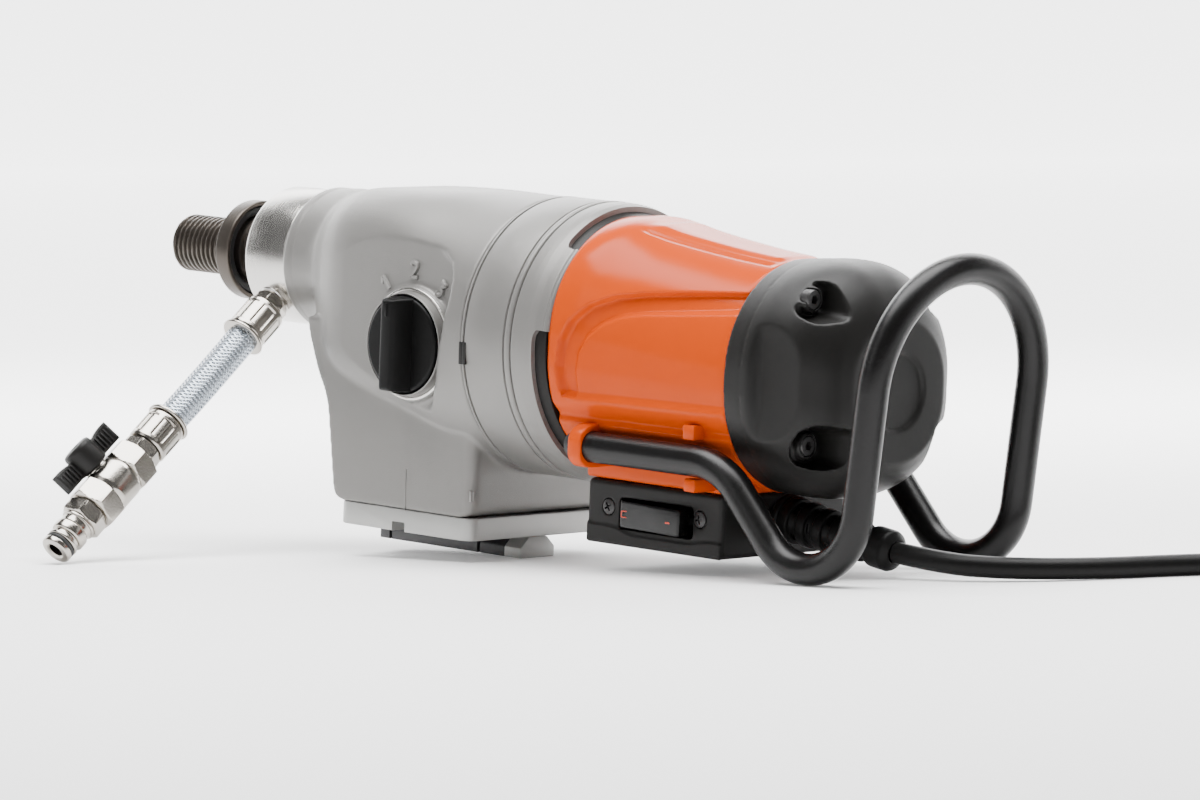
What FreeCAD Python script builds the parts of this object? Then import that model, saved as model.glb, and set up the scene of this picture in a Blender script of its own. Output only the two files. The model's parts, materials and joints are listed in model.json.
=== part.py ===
import FreeCAD, Part
import math
import os
from FreeCAD import Placement, Rotation, Vector

# Core drill motor with a three-speed gearbox, water swivel and rail mount, in millimetres.
# Every piece is drawn in the tool's own frame and then set down as it rests on a floor.
# Tool frame: X along the spindle, from its tip rearwards, Z up, Y = 0 the middle plane.

# ---- driving dimensions -------------------------------------------------------------
THREAD_R = 15.875            # 1-1/4 inch spindle thread, outer radius
THREAD_END = 47.3
FLANGE_END, FLANGE_R = 55.3, 27.1
SLEEVE_START, SLEEVE_END, SLEEVE_R = 82.7, 114.4, 36.8
JOURNAL_R = 20.0             # spindle under the water seals and the front bearing
GEAR_JOURNAL_R = 17.0        # spindle under the speed gears
WATER_BORE_R = 6.0

FRONT_END = 284.4            # rear face of the front gear housing
MIDDLE_END = 320.0           # rear face of the middle gear housing
VENT_END = 341.0             # rear face of the vent ring
MOTOR_END = 457.8            # joint between motor housing and end cap
CAP_END = 521.0
RING_R, RING_Z = 72.6, -26.5
MOTOR_Z = -33.3              # height of the armature against the spindle
MOTOR_BORE_R = 54.0

BOX_HALF, BOX_REAR = 52.0, 275.3
BOX_BOTTOM = -121.1
PLATE_FRONT, PLATE_BOTTOM = 178.0, -133.1
RAIL_FRONT, RAIL_BOTTOM, RAIL_HALF = 170.0, -144.3, 12.5

KNOB_X, KNOB_Z = 236.0, -33.0
KNOB_FACE = -61.0            # outer face of the round boss under the knob
KNOB_R = 25.4
SHIFT_ARM = 28.0             # eccentric pin to knob axis; 35 degrees shift one gear pitch
GUIDE = (-30.0, 14.0)        # rail that guides the shift fork, as (y, z)

HANDLE_R, HANDLE_HALF = 8.0, 60.0
LOOP_X, LOOP_Z, LOOP_R = 517.0, -86.0, 33.5
DIVE, BAR_LEAN = 47.0, 6.0   # degrees: the tube's slope into the loop, the bar's lean
HANDLE_TOP = 31.0
HANDLE_FRONT, HANDLE_LUG_Z, HANDLE_BEND = 358.5, -73.5, 40.0

SWITCH_FRONT, SWITCH_REAR, SWITCH_HALF = 354.0, 448.0, 46.5
SWITCH_BOTTOM, SWITCH_TOP = -124.0, -91.0
SWITCH_X = 402.0             # pivot of the rocker
ROCKER_FRONT, ROCKER_REAR = 378.5, 425.5
ROCKER_BOTTOM, ROCKER_HEIGHT = -114.0, 13.5

HOSE_X, HOSE_R = 98.5, 8.0
NIPPLE_BORE_R = 4.6
DOWN = math.radians(39.7)    # the hose hangs this far below the horizontal
HOSE_AXIS = Vector(0, -math.cos(DOWN), -math.sin(DOWN))
HOSE_SIDE = Vector(0, -math.sin(DOWN), math.cos(DOWN))
VALVE_R = 182.5              # valve stem, along the hose from the spindle axis
VALVE_TURN = math.radians(30)
VALVE_AXIS = HOSE_SIDE * math.cos(VALVE_TURN) - Vector(1, 0, 0) * math.sin(VALVE_TURN)

CABLE_R = 5.5
BOOT_DOWN = math.radians(7.5)
BOOT_START = Vector(SWITCH_REAR, 0, -104.0)
BOOT_AXIS = Vector(math.cos(BOOT_DOWN), 0, -math.sin(BOOT_DOWN))
BOOT_LENGTH, COLLAR_LENGTH, COLLAR_R = 62.0, 15.0, 10.6
COIL_OUT_R, COIL_TURNS, COIL_LAYERS = 93.0, 8.32, 2
TAIL, TAIL_Z = 68.0, 16.5    # from the coil to the plug, and its height
PLUG_R = 19.0

# Screw places: (x, y) under the tool, (y, z) on the end cap, (x, z) on the switch panel.
PLATE_SCREWS = [(190.0, -42.0), (262.0, -42.0), (190.0, 42.0), (262.0, 42.0)]
RAIL_SCREWS = [(192.0, 0.0), (222.0, 0.0), (254.0, 0.0)]
CAP_SCREWS = [(-39.0, 11.5), (39.0, 11.5), (-39.0, -61.5), (39.0, -61.5)]
PANEL_SCREWS = [(369.3, -104.8), (432.6, -104.8)]

# Gear pairs: shaft centres as (y, z); motor pinion -> shaft A -> shaft B -> spindle gears.
SPINDLE = (0.0, 0.0)
MOTOR = (0.0, MOTOR_Z)
SHAFT_A = (26.24, -15.2)
SHAFT_B = (0.0, -48.0)
INPUT_MODULE, GEAR_MODULE = 1.25, 1.5
PINION_TEETH, A_GEAR_TEETH = 11, 40
A_PINION_TEETH, B_GEAR_TEETH = 12, 44
SPEEDS = [("1", 177.0, 17, 47), ("2", 193.0, 24, 40), ("3", 209.0, 31, 33)]
GEAR_WIDTH = 12.0

# The tool leans back on the rear edge of its rail and on the two handle loops.
LOOP_OUT = LOOP_R + HANDLE_R
REACH = math.hypot(LOOP_X - BOX_REAR, LOOP_Z - RAIL_BOTTOM)
REST_TILT = math.atan2(LOOP_Z - RAIL_BOTTOM, LOOP_X - BOX_REAR) - math.asin(LOOP_OUT / REACH)
ORIGIN_X, ORIGIN_Y = 286.1, -3.2


# ---- small tools --------------------------------------------------------------------
def cyl(x0, x1, r, centre=SPINDLE):
    """Cylinder along X about a (y, z) centre."""
    return Part.makeCylinder(r, x1 - x0, Vector(x0, *centre), Vector(1, 0, 0))


def across(r, y0, y1, x, z):
    """Cylinder along Y."""
    return Part.makeCylinder(r, y1 - y0, Vector(x, y0, z), Vector(0, 1, 0))


def upright(r, z0, z1, x, y):
    """Cylinder along Z."""
    return Part.makeCylinder(r, z1 - z0, Vector(x, y, z0))


def tube(x0, x1, r_out, r_in, centre=SPINDLE):
    return cyl(x0, x1, r_out, centre).cut(cyl(x0 - 1, x1 + 1, r_in, centre))


def cone(x0, x1, r0, r1, centre=SPINDLE):
    return Part.makeCone(r0, r1, x1 - x0, Vector(x0, *centre), Vector(1, 0, 0))


def block(x0, x1, y0, y1, z0, z1):
    return Part.makeBox(x1 - x0, y1 - y0, z1 - z0, Vector(x0, y0, z0))


def fuse(first, *others):
    return first.multiFuse(list(others)).removeSplitter()


def cut(body, *tools):
    for tool in tools:
        body = body.cut(tool)
    return body


def polygon(points, along):
    wire = Part.makePolygon(points + points[:1])
    return Part.Face(wire).extrude(along)


def section(x, half, top, bottom, r):
    """Rounded rectangle across the tool at x: half width, top, bottom and corner radius."""
    q = r * math.sqrt(0.5)
    edges = []
    corners = [(half - r, top - r, 1, 1), (half - r, bottom + r, 1, -1)]
    corners += [(r - half, bottom + r, -1, -1), (r - half, top - r, -1, 1)]
    turns = [((0, 1), (1, 0)), ((1, 0), (0, -1)), ((0, -1), (-1, 0)), ((-1, 0), (0, 1))]
    ends = []
    for (y, z, sy, sz), (a, b) in zip(corners, turns):
        start = Vector(x, y + a[0] * r, z + a[1] * r)
        end = Vector(x, y + b[0] * r, z + b[1] * r)
        edges.append(Part.Arc(start, Vector(x, y + sy * q, z + sz * q), end).toShape())
        ends.append((start, end))
    full = []
    for i, edge in enumerate(edges):
        full.append(edge)
        start, end = ends[i][1], ends[(i + 1) % 4][0]
        full.append(Part.LineSegment(start, end).toShape())
    return Part.Wire(full)


def loft(sections):
    return Part.makeLoft([section(*s) for s in sections], True, True)


def round_z_corners(body, radius, test):
    """Fillet the straight upright edges whose middle passes the test."""
    picked = []
    for edge in body.Edges:
        low, high = edge.BoundBox.ZMin, edge.BoundBox.ZMax
        upright = high - low > 2 and edge.BoundBox.YLength < 0.01 and edge.BoundBox.XLength < 0.01
        if upright and test(edge.CenterOfMass):
            picked.append(edge)
    return body.makeFillet(radius, picked)


def gear(teeth, module, x0, x1, centre, tooth_at, bore):
    """Spur gear with straight flanks and play; one tooth points to the angle tooth_at."""
    pitch_r = teeth * module / 2
    tip, root = pitch_r + 0.75 * module, pitch_r - 1.2 * module
    half_pitch = 0.39 * math.pi * module / 2
    slope = math.tan(math.radians(20))
    half_tip = half_pitch - (tip - pitch_r) * slope
    half_root = half_pitch + (pitch_r - root) * slope
    points = []
    for i in range(teeth):
        mid = tooth_at + 2 * math.pi * i / teeth
        for radius, half in ((root, -half_root), (tip, -half_tip), (tip, half_tip), (root, half_root)):
            angle = mid + half / radius
            y = centre[0] + radius * math.cos(angle)
            z = centre[1] + radius * math.sin(angle)
            points.append(Vector(x0, y, z))
    body = polygon(points, Vector(x1 - x0, 0, 0))
    return body.cut(cyl(x0 - 1, x1 + 1, bore, centre))


def toward(start, goal):
    return math.atan2(goal[1] - start[1], goal[0] - start[0])


def gap_toward(start, goal, teeth):
    return toward(start, goal) + math.pi / teeth


def bent_tube(points, radius):
    """Tube along straight runs joined by tangent arcs, with the arcs' radii."""
    edges, radii = [], []
    at = points[0]
    for before, corner, after in zip(points, points[1:], points[2:]):
        one, two = (before - corner), (after - corner)
        turn = math.pi - one.getAngle(two)
        trim = 0.45 * min(one.Length, two.Length)
        bend = trim / math.tan(turn / 2)
        one.normalize()
        two.normalize()
        start, end = corner + one * trim, corner + two * trim
        middle = (one + two).normalize() * (bend / math.cos(turn / 2) - bend) + corner
        edges.append(Part.LineSegment(at, start).toShape())
        edges.append(Part.Arc(start, middle, end).toShape())
        radii.append(bend)
        at = end
    edges.append(Part.LineSegment(at, points[-1]).toShape())
    path = Part.Wire(edges)
    ring = Part.Wire(Part.makeCircle(radius, points[0], points[1] - points[0]))
    return path.makePipeShell([ring], True, False), radii, path.Length


# ---- gearbox housings ---------------------------------------------------------------
BARREL = [
    (SLEEVE_END, 37.8, 37.8, -37.8, 37.7),
    (135.0, 39.2, 39.2, -40.0, 39.0),
    (152.0, 47.0, 41.0, -58.0, 40.0),
    (172.0, 56.0, 42.0, -68.0, 38.0),
    (240.0, 60.0, 44.3, -84.0, 45.0),
    (262.0, 62.5, 45.2, -92.0, 55.0),
    (FRONT_END, RING_R, RING_R + RING_Z, RING_Z - RING_R, RING_R - 0.1),
]


def lower_box():
    front = [(150, -30), (158, -54), (166, -67), (170, -96), (173.6, BOX_BOTTOM)]
    points = [Vector(x, -BOX_HALF, z) for x, z in front]
    points += [Vector(BOX_REAR, -BOX_HALF, BOX_BOTTOM), Vector(BOX_REAR, -BOX_HALF, -30)]
    body = polygon(points, Vector(0, 2 * BOX_HALF, 0))
    return round_z_corners(body, 8.0, lambda at: at.x > BOX_REAR - 1)


def gear_cavity():
    spindle_room = cyl(153, 224, 38.5)
    cluster_room = cyl(170, 224, 26.0, SHAFT_B)
    wide = block(208, FRONT_END, -54, 54, -48, 60)
    narrow = block(208, FRONT_END, -45, 45, -100, -47)
    rear_room = cyl(208, 300, 64.0, (0, RING_Z)).common(wide.fuse(narrow))
    sump = block(178, BOX_REAR - 6, -46, 46, BOX_BOTTOM + 8, -30)
    return fuse(spindle_room, cluster_room, rear_room, sump)


def gear_housing_front():
    outer = fuse(loft(BARREL), lower_box(), knob_boss())
    holes = [gear_cavity(), cyl(114, 147, 31.0), cyl(146, 154, 22.0)]
    holes.append(cyl(162, 171, 10.0, SHAFT_B))
    holes.append(across(8.05, -64, -52, KNOB_X, KNOB_Z))
    holes.append(across(30.4, -80, KNOB_FACE, KNOB_X, KNOB_Z))
    return cut(outer, *holes)


def knob_boss():
    return across(29.4, KNOB_FACE, KNOB_FACE + 8, KNOB_X, KNOB_Z)


def gear_housing_middle():
    shell = tube(FRONT_END, MIDDLE_END, RING_R, 64.0, (0, RING_Z))
    web = cyl(303, 314, 64.0, (0, RING_Z))
    holes = [cyl(300, 320, 17.0, MOTOR), cyl(302, 312, 11.0, SHAFT_A)]
    return cut(fuse(shell, web), *holes)


def vent_ring():
    outer = fuse(cyl(MIDDLE_END, 334, RING_R, (0, RING_Z)), cone(334, VENT_END, RING_R, 68.0, (0, RING_Z)))
    bore = cyl(MIDDLE_END - 1, VENT_END + 1, 60.0, (0, RING_Z))
    air = [block(336, VENT_END + 1, -50, 50, 26, 60)]
    air += [block(336, VENT_END + 1, y, y + 40, -86, -37) for y in (-80, 40)]
    return cut(outer, bore, *air)


def bearing_plate(x0, x1):
    """Slab across the gear cavity, open below so that the oil can pass."""
    return gear_cavity().common(block(x0, x1, -80, 80, -84, 60))


def bearing_plate_front():
    body = bearing_plate(218, 228)
    holes = [cyl(217, 229, 19.0), cyl(217, 229, 12.0, SHAFT_B), cyl(219, 229, 10.0, SHAFT_A)]
    holes.append(block(217, 229, -60, -37, -46, 24))
    holes.append(cyl(217, 229, 4.0, GUIDE))
    return cut(body, *holes)


def bearing_plate_rear():
    body = bearing_plate(252, 262)
    holes = [cyl(251, 263, 10.0, SHAFT_B), cyl(251, 263, 12.0, SHAFT_A), cyl(251, 263, 16.0)]
    holes.append(block(251, 263, -60, 0, -31, 24))
    return cut(body, *holes)


def base_plate():
    body = block(PLATE_FRONT, BOX_REAR, -BOX_HALF, BOX_HALF, PLATE_BOTTOM, BOX_BOTTOM)
    body = round_z_corners(body, 8.0, lambda at: at.x > BOX_REAR - 1)
    notch = block(218.6, 228, -BOX_HALF - 1, -BOX_HALF + 12, PLATE_BOTTOM - 1, PLATE_BOTTOM + 5)
    screws = [Part.makeCylinder(3.3, 20, Vector(x, y, PLATE_BOTTOM - 1)) for x, y in PLATE_SCREWS]
    heads = [Part.makeCylinder(5.8, 8, Vector(x, y, PLATE_BOTTOM - 1)) for x, y in PLATE_SCREWS]
    return cut(body, notch, *screws, *heads, *rail_screw_holes())


def rail_screw_holes():
    return [Part.makeCylinder(3.1, 14, Vector(x, y, PLATE_BOTTOM - 1)) for x, y in RAIL_SCREWS]


def mounting_screws():
    out = rail_screws()
    for x, y in PLATE_SCREWS:
        head = Part.makeCylinder(5.0, 5.5, Vector(x, y, PLATE_BOTTOM + 1.5))
        shank = Part.makeCylinder(3.0, 5, Vector(x, y, PLATE_BOTTOM + 7))
        socket = Part.makeCylinder(2.6, 3, Vector(x, y, PLATE_BOTTOM + 1.4))
        out.append(fuse(head, shank).cut(socket))
    return Part.makeCompound(out)


def mounting_rail():
    lip = RAIL_BOTTOM + 5.6
    top = RAIL_HALF - 6.0
    profile = [(-RAIL_HALF, RAIL_BOTTOM), (RAIL_HALF, RAIL_BOTTOM), (RAIL_HALF, lip)]
    profile += [(top, PLATE_BOTTOM), (-top, PLATE_BOTTOM), (-RAIL_HALF, lip)]
    body = polygon([Vector(RAIL_FRONT, y, z) for y, z in profile], Vector(BOX_REAR - RAIL_FRONT, 0, 0))
    slots = [block(x, x + 2, side, side + 5, RAIL_BOTTOM - 1, PLATE_BOTTOM - 2)
             for x in (177.0, 243.0) for side in (-RAIL_HALF - 1, RAIL_HALF - 4)]
    screws = []
    for x, y in RAIL_SCREWS:
        screws.append(Part.makeCylinder(3.1, 14, Vector(x, y, RAIL_BOTTOM - 1)))
        screws.append(Part.makeCylinder(5.3, 6.8, Vector(x, y, RAIL_BOTTOM - 1)))
    return cut(body, *slots, *screws)


def rail_screws():
    out = []
    for x, y in RAIL_SCREWS:
        head = Part.makeCylinder(5.0, 5.0, Vector(x, y, RAIL_BOTTOM + 0.8))
        shank = Part.makeCylinder(3.0, 14, Vector(x, y, RAIL_BOTTOM + 5.8))
        socket = Part.makeCylinder(2.4, 3, Vector(x, y, RAIL_BOTTOM + 0.7))
        out.append(fuse(head, shank).cut(socket))
    return out


# ---- spindle, water swivel and seals ------------------------------------------------
def spindle():
    body = fuse(
        cone(0, 2.5, THREAD_R - 2.5, THREAD_R), cyl(2.5, 44, THREAD_R), cyl(44, THREAD_END, 14.0),
        cyl(THREAD_END, 60, 18.0), cyl(60, 150, JOURNAL_R),
        cyl(150, 216, GEAR_JOURNAL_R), cyl(216, 232, 12.0))
    bores = [cyl(-1, 99, WATER_BORE_R), cyl(166, 233, 6.0)]
    bores.append(Part.makeCylinder(3.0, 60, Vector(HOSE_X, 0, -30)))
    bores.append(block(166, 215.5, -3.1, 3.1, 0, 20))
    flats = [block(62, 80, 17.5, 25, -25, 25), block(62, 80, -25, -17.5, -25, 25)]
    return cut(body, *bores, *flats)


def spindle_flange():
    ring = tube(THREAD_END, FLANGE_END, FLANGE_R, 18.02)
    recess = cyl(FLANGE_END - 3, FLANGE_END + 1, 24.0)
    chamfer = cone(THREAD_END - 0.01, THREAD_END + 2.5, FLANGE_R + 0.01, FLANGE_R + 2.51)
    rim = tube(THREAD_END - 1, THREAD_END + 2.5, 40, FLANGE_R).cut(chamfer)
    return cut(ring, recess.cut(cyl(0, 60, 20.0)), rim)


def water_sleeve():
    body = tube(SLEEVE_START, SLEEVE_END, SLEEVE_R, 24.0)
    port = hose_cylinder(0, 60, 8.0)
    return cut(body, port)


def spindle_seals():
    lips = [tube(x, x + 8, 24.0, JOURNAL_R + 0.05) for x in (83.5, 105.5)]
    return Part.makeCompound(lips + [tube(134, 143, 31.0, JOURNAL_R + 0.05)])


def ring_bearing(x0, x1, r_out, r_in, centre=SPINDLE):
    """Bearing with a shallow groove between its two rings on both faces."""
    body = tube(x0, x1, r_out, r_in, centre)
    mid = (r_out + r_in) / 2
    band = (r_out - r_in) * 0.16
    for face in (x0 - 0.5, x1 - 0.5):
        groove = cyl(face, face + 1, mid + band, centre).cut(cyl(face, face + 1, mid - band, centre))
        body = body.cut(groove)
    return body


def spindle_bearings():
    front = ring_bearing(116, 132, 31.0, JOURNAL_R + 0.03)
    return Part.makeCompound([front, ring_bearing(218, 228, 19.0, 12.03)])


# ---- gear train ---------------------------------------------------------------------
def speed_gear(index):
    _, x, driver_teeth, teeth = SPEEDS[index]
    half = GEAR_WIDTH / 2
    start = gap_toward(SPINDLE, SHAFT_B, teeth)
    return gear(teeth, GEAR_MODULE, x - half, x + half, SPINDLE, start, GEAR_JOURNAL_R + 0.05)


def layshaft_b():
    body = cyl(162.3, 262, 6.0, SHAFT_B)
    for _, x, teeth, _ in SPEEDS:
        half = GEAR_WIDTH / 2
        wheel = gear(teeth, GEAR_MODULE, x - half, x + half, SHAFT_B, toward(SHAFT_B, SPINDLE), 5.5)
        body = body.fuse(wheel)
    return body.fuse(cyl(215, 248, 9.0, SHAFT_B)).removeSplitter()


def layshaft_b_gear():
    start = gap_toward(SHAFT_B, SHAFT_A, B_GEAR_TEETH)
    return gear(B_GEAR_TEETH, GEAR_MODULE, 233, 247, SHAFT_B, start, 9.0)


def layshaft_a():
    pinion = gear(A_PINION_TEETH, GEAR_MODULE, 232, 248, SHAFT_A, toward(SHAFT_A, SHAFT_B), 5.0)
    return fuse(cyl(219.3, 312, 6.0, SHAFT_A), cyl(249, 286, 8.0, SHAFT_A), pinion)


def layshaft_a_gear():
    start = gap_toward(SHAFT_A, MOTOR, A_GEAR_TEETH)
    return gear(A_GEAR_TEETH, INPUT_MODULE, 288, 299, SHAFT_A, start, 6.0)


def layshaft_bearings():
    seats = [(162, 170, 10.0, SHAFT_B), (252, 262, 10.0, SHAFT_B)]
    seats += [(219, 228, 10.0, SHAFT_A), (302, 312, 11.0, SHAFT_A)]
    return Part.makeCompound([ring_bearing(x0, x1, r, 6.03, centre) for x0, x1, r, centre in seats])


def shift_rail():
    return cyl(218, 290, 4.0, GUIDE)


def shift_fork():
    plate = block(229, 266, -48, -38, -16, 11)
    bridge = block(250, 266, -40, -24, 7, 20)
    tine = block(253.2, 258.8, -40, -4, -8, 12)
    slot = block(KNOB_X - 4.4, KNOB_X + 4.4, -49, -37, -17, 1)
    body = fuse(plate, bridge, tine)
    return cut(body, slot, cyl(225, 270, 4.05, GUIDE), cyl(250, 262, 8.5))


def draw_key():
    rod = cyl(184, 262, 5.9)
    nub = block(190, 196, -2.9, 2.9, 0, 16.6)
    spool = fuse(cyl(249, 253, 12.0), cyl(252, 260, 8.0), cyl(259, 263, 12.0))
    return fuse(rod, nub, spool)


def knob_shaft():
    shaft = across(8.0, -66, -50.5, KNOB_X, KNOB_Z)
    arm = block(KNOB_X - 5, KNOB_X + 5, -52.5, -49.5, KNOB_Z, KNOB_Z + SHIFT_ARM + 4)
    pin = across(3.5, -51, -39, KNOB_X, KNOB_Z + SHIFT_ARM)
    hub = across(11.0, -52.5, -49.5, KNOB_X, KNOB_Z)
    return fuse(shaft, arm, pin, hub)


def gear_knob():
    disc = across(KNOB_R, KNOB_FACE - 6.3, KNOB_FACE - 0.3, KNOB_X, KNOB_Z)
    grip = block(KNOB_X - 8, KNOB_X + 8, KNOB_FACE - 18, KNOB_FACE - 6, KNOB_Z - 24, KNOB_Z + 24)
    return fuse(disc, grip).cut(across(8.0, -66, -60, KNOB_X, KNOB_Z))


# ---- motor --------------------------------------------------------------------------
MOTOR_BODY = [
    (VENT_END, 67.0, 40.5, SWITCH_TOP, 58.0),
    (356.0, 66.0, 41.0, SWITCH_TOP, 57.0),
    (384.0, 63.0, 34.5, SWITCH_TOP, 56.0),
    (424.0, 61.0, 29.5, SWITCH_TOP, 55.0),
    (MOTOR_END, 59.8, 26.5, SWITCH_TOP, 55.0),
]
CAP_BODY = [
    (MOTOR_END, 60.5, 28.0, SWITCH_TOP, 56.0),
    (478.0, 60.5, 29.0, -91.0, 56.0),
    (496.0, 57.0, 27.0, -89.0, 54.0),
    (510.0, 49.0, 19.0, -83.0, 47.0),
    (517.0, 42.0, 10.0, -76.0, 40.0),
    (CAP_END, 36.0, 3.0, -70.0, 34.0),
]


def motor_housing():
    skirt = block(352, 452, 1 - SWITCH_HALF, SWITCH_HALF - 1, SWITCH_TOP, -60)
    lugs = []
    for side in (-1, 1):
        y0, y1 = sorted((side * 44, side * (HANDLE_HALF + 9.5)))
        lugs.append(block(361, 369, y0, y1, -84, -62))
    outer = fuse(loft(MOTOR_BODY), skirt, *lugs)
    bore = cyl(VENT_END - 1, MOTOR_END + 1, MOTOR_BORE_R, MOTOR)
    seats = [cyl(355, 470, HANDLE_R + 0.05, (side * HANDLE_HALF, HANDLE_LUG_Z)) for side in (-1, 1)]
    wires = block(380, 440, -20, 20, SWITCH_TOP - 1, -80)
    return cut(outer, bore, wires, *seats)


def end_cap():
    outer = loft(CAP_BODY)
    inner = loft([(MOTOR_END - 1, 53.0, 20.0, -86.0, 50.0), (494.0, 52.0, 20.0, -84.0, 50.0),
                  (508.0, 42.0, 10.0, -76.0, 40.0)])
    post = cyl(470, 514, 20.0, MOTOR)
    seat = cyl(469, 482, 14.0, MOTOR)
    tail = cyl(469, 492, 10.0, MOTOR)
    scoops = [cyl(492, 530, 8.0, at) for at in CAP_SCREWS]
    shanks = [cyl(455, 500, 3.0, at) for at in CAP_SCREWS]
    bosses = [cyl(MOTOR_END, 508, 10.0, at).common(outer) for at in CAP_SCREWS]
    shell = fuse(cut(outer, inner), post, *bosses)
    return cut(shell, seat, tail, *scoops, *shanks)


def end_cap_screws():
    out = []
    for at in CAP_SCREWS:
        screw = fuse(cyl(459, 492, 3.0, at), cyl(492, 497.5, 5.0, at))
        out.append(screw.cut(cyl(494.5, 498, 2.4, at)))
    return Part.makeCompound(out)


def motor_bearings():
    seats = [(303, 314, 17.0), (471, 482, 14.0)]
    return Part.makeCompound([ring_bearing(x0, x1, r, 8.03, MOTOR) for x0, x1, r in seats])


def armature_shaft():
    pinion = gear(PINION_TEETH, INPUT_MODULE, 286.5, 301, MOTOR, toward(MOTOR, SHAFT_A), 4.0)
    return fuse(cyl(287, 302, 4.5, MOTOR), cyl(301.5, 484, 8.0, MOTOR), pinion)


def armature_core():
    body = tube(362, 420, 34.0, 8.0, MOTOR)
    slots = []
    for i in range(12):
        angle = 2 * math.pi * i / 12
        centre = (31.0 * math.cos(angle), MOTOR_Z + 31.0 * math.sin(angle))
        slots.append(cyl(361, 421, 2.2, centre))
    return cut(body, *slots)


def armature_windings():
    ends = [tube(350, 362, 29.0, 8.0, MOTOR), tube(420, 431, 29.0, 8.0, MOTOR)]
    return Part.makeCompound(ends)


def commutator():
    body = tube(434, 460, 20.0, 8.0, MOTOR)
    slots = []
    for i in range(24):
        slot = block(433, 456, -0.4, 0.4, 17.5, 21)
        slot.rotate(Vector(0, 0, 0), Vector(1, 0, 0), 15 * i)
        slot.translate(Vector(0, 0, MOTOR_Z))
        slots.append(slot)
    return cut(body, *slots)


def cooling_fan():
    hub = tube(322, 334, 12.0, 8.0, MOTOR)
    disc = tube(322, 324.5, 48.0, 11.0, MOTOR)
    blades = []
    for i in range(14):
        blade = block(324, 334, -1, 1, 14, 48)
        blade.rotate(Vector(0, 0, 0), Vector(1, 0, 0), 360 / 14 * i)
        blade.translate(Vector(0, 0, MOTOR_Z))
        blades.append(blade)
    return fuse(hub, disc, *blades)


def field_stator():
    body = tube(358, 424, MOTOR_BORE_R, 35.0, MOTOR)
    windows = [block(357, 425, -14, 14, MOTOR_Z + z - 5, MOTOR_Z + z + 5) for z in (-42, 42)]
    return cut(body, *windows)


def field_windings():
    coils = []
    for z in (-42, 42):
        coils.append(block(350, 432, -13.8, 13.8, MOTOR_Z + z - 4.8, MOTOR_Z + z + 4.8))
    return Part.makeCompound(coils)


def brush_holders():
    out = []
    for side in (-1, 1):
        y0, y1 = sorted((side * 22, side * 52))
        shell = block(440, 454, y0, y1, MOTOR_Z - 5, MOTOR_Z + 5)
        hole = block(442, 452, y0 - 1, y1 + 1, MOTOR_Z - 3, MOTOR_Z + 3)
        out.append(shell.cut(hole))
    return Part.makeCompound(out)


def carbon_brushes():
    out = []
    for side in (-1, 1):
        y0, y1 = sorted((side * 20.4, side * 40))
        out.append(block(442, 452, y0, y1, MOTOR_Z - 3, MOTOR_Z + 3))
    return Part.makeCompound(out)


# ---- switch box ---------------------------------------------------------------------
def switch_box():
    body = block(SWITCH_FRONT, SWITCH_REAR, -SWITCH_HALF, SWITCH_HALF, SWITCH_BOTTOM, SWITCH_TOP)
    body = round_z_corners(body, 5.0, lambda at: True)
    room = block(SWITCH_FRONT + 4, SWITCH_REAR - 5, 14 - SWITCH_HALF, SWITCH_HALF - 4,
                 SWITCH_BOTTOM + 4, SWITCH_TOP + 1)
    pocket = block(ROCKER_FRONT - 1.5, ROCKER_REAR + 2.2, -SWITCH_HALF - 1, 16 - SWITCH_HALF,
                   ROCKER_BOTTOM - 1, ROCKER_BOTTOM + ROCKER_HEIGHT + 1)
    gland = cyl(440, 450, 8.0, (0, BOOT_START.z))
    screws = [across(4.1, -SWITCH_HALF - 1, 3 - SWITCH_HALF, x, z) for x, z in PANEL_SCREWS]
    return cut(body, room, pocket, gland, *screws)


def panel_screws():
    out = []
    face = -SWITCH_HALF
    for x, z in PANEL_SCREWS:
        head = across(4.0, face, face + 3, x, z)
        wide = block(x - 2.4, x + 2.4, face - 1, face + 1.5, z - 0.5, z + 0.5)
        tall = block(x - 0.5, x + 0.5, face - 1, face + 1.5, z - 2.4, z + 2.4)
        out.append(cut(head, wide, tall))
    return Part.makeCompound(out)


def switch_rocker():
    """Rocker about an upright pivot; its rear end stands proud."""
    face = -SWITCH_HALF
    outline = [(ROCKER_FRONT, face - 1.5), (ROCKER_REAR, face - 7.5)]
    outline += [(ROCKER_REAR, face + 1), (ROCKER_FRONT, face + 4)]
    body = polygon([Vector(x, y, ROCKER_BOTTOM) for x, y in outline], Vector(0, 0, ROCKER_HEIGHT))
    top = ROCKER_BOTTOM + ROCKER_HEIGHT
    axle = upright(2.5, ROCKER_BOTTOM, top, SWITCH_X, face + 4)
    web = block(SWITCH_X - 2.5, SWITCH_X + 2.5, face, face + 4, ROCKER_BOTTOM, top)
    return fuse(body, axle, web)


def electronics_module():
    return block(366, 436, -18, 36, -118, -97)


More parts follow.
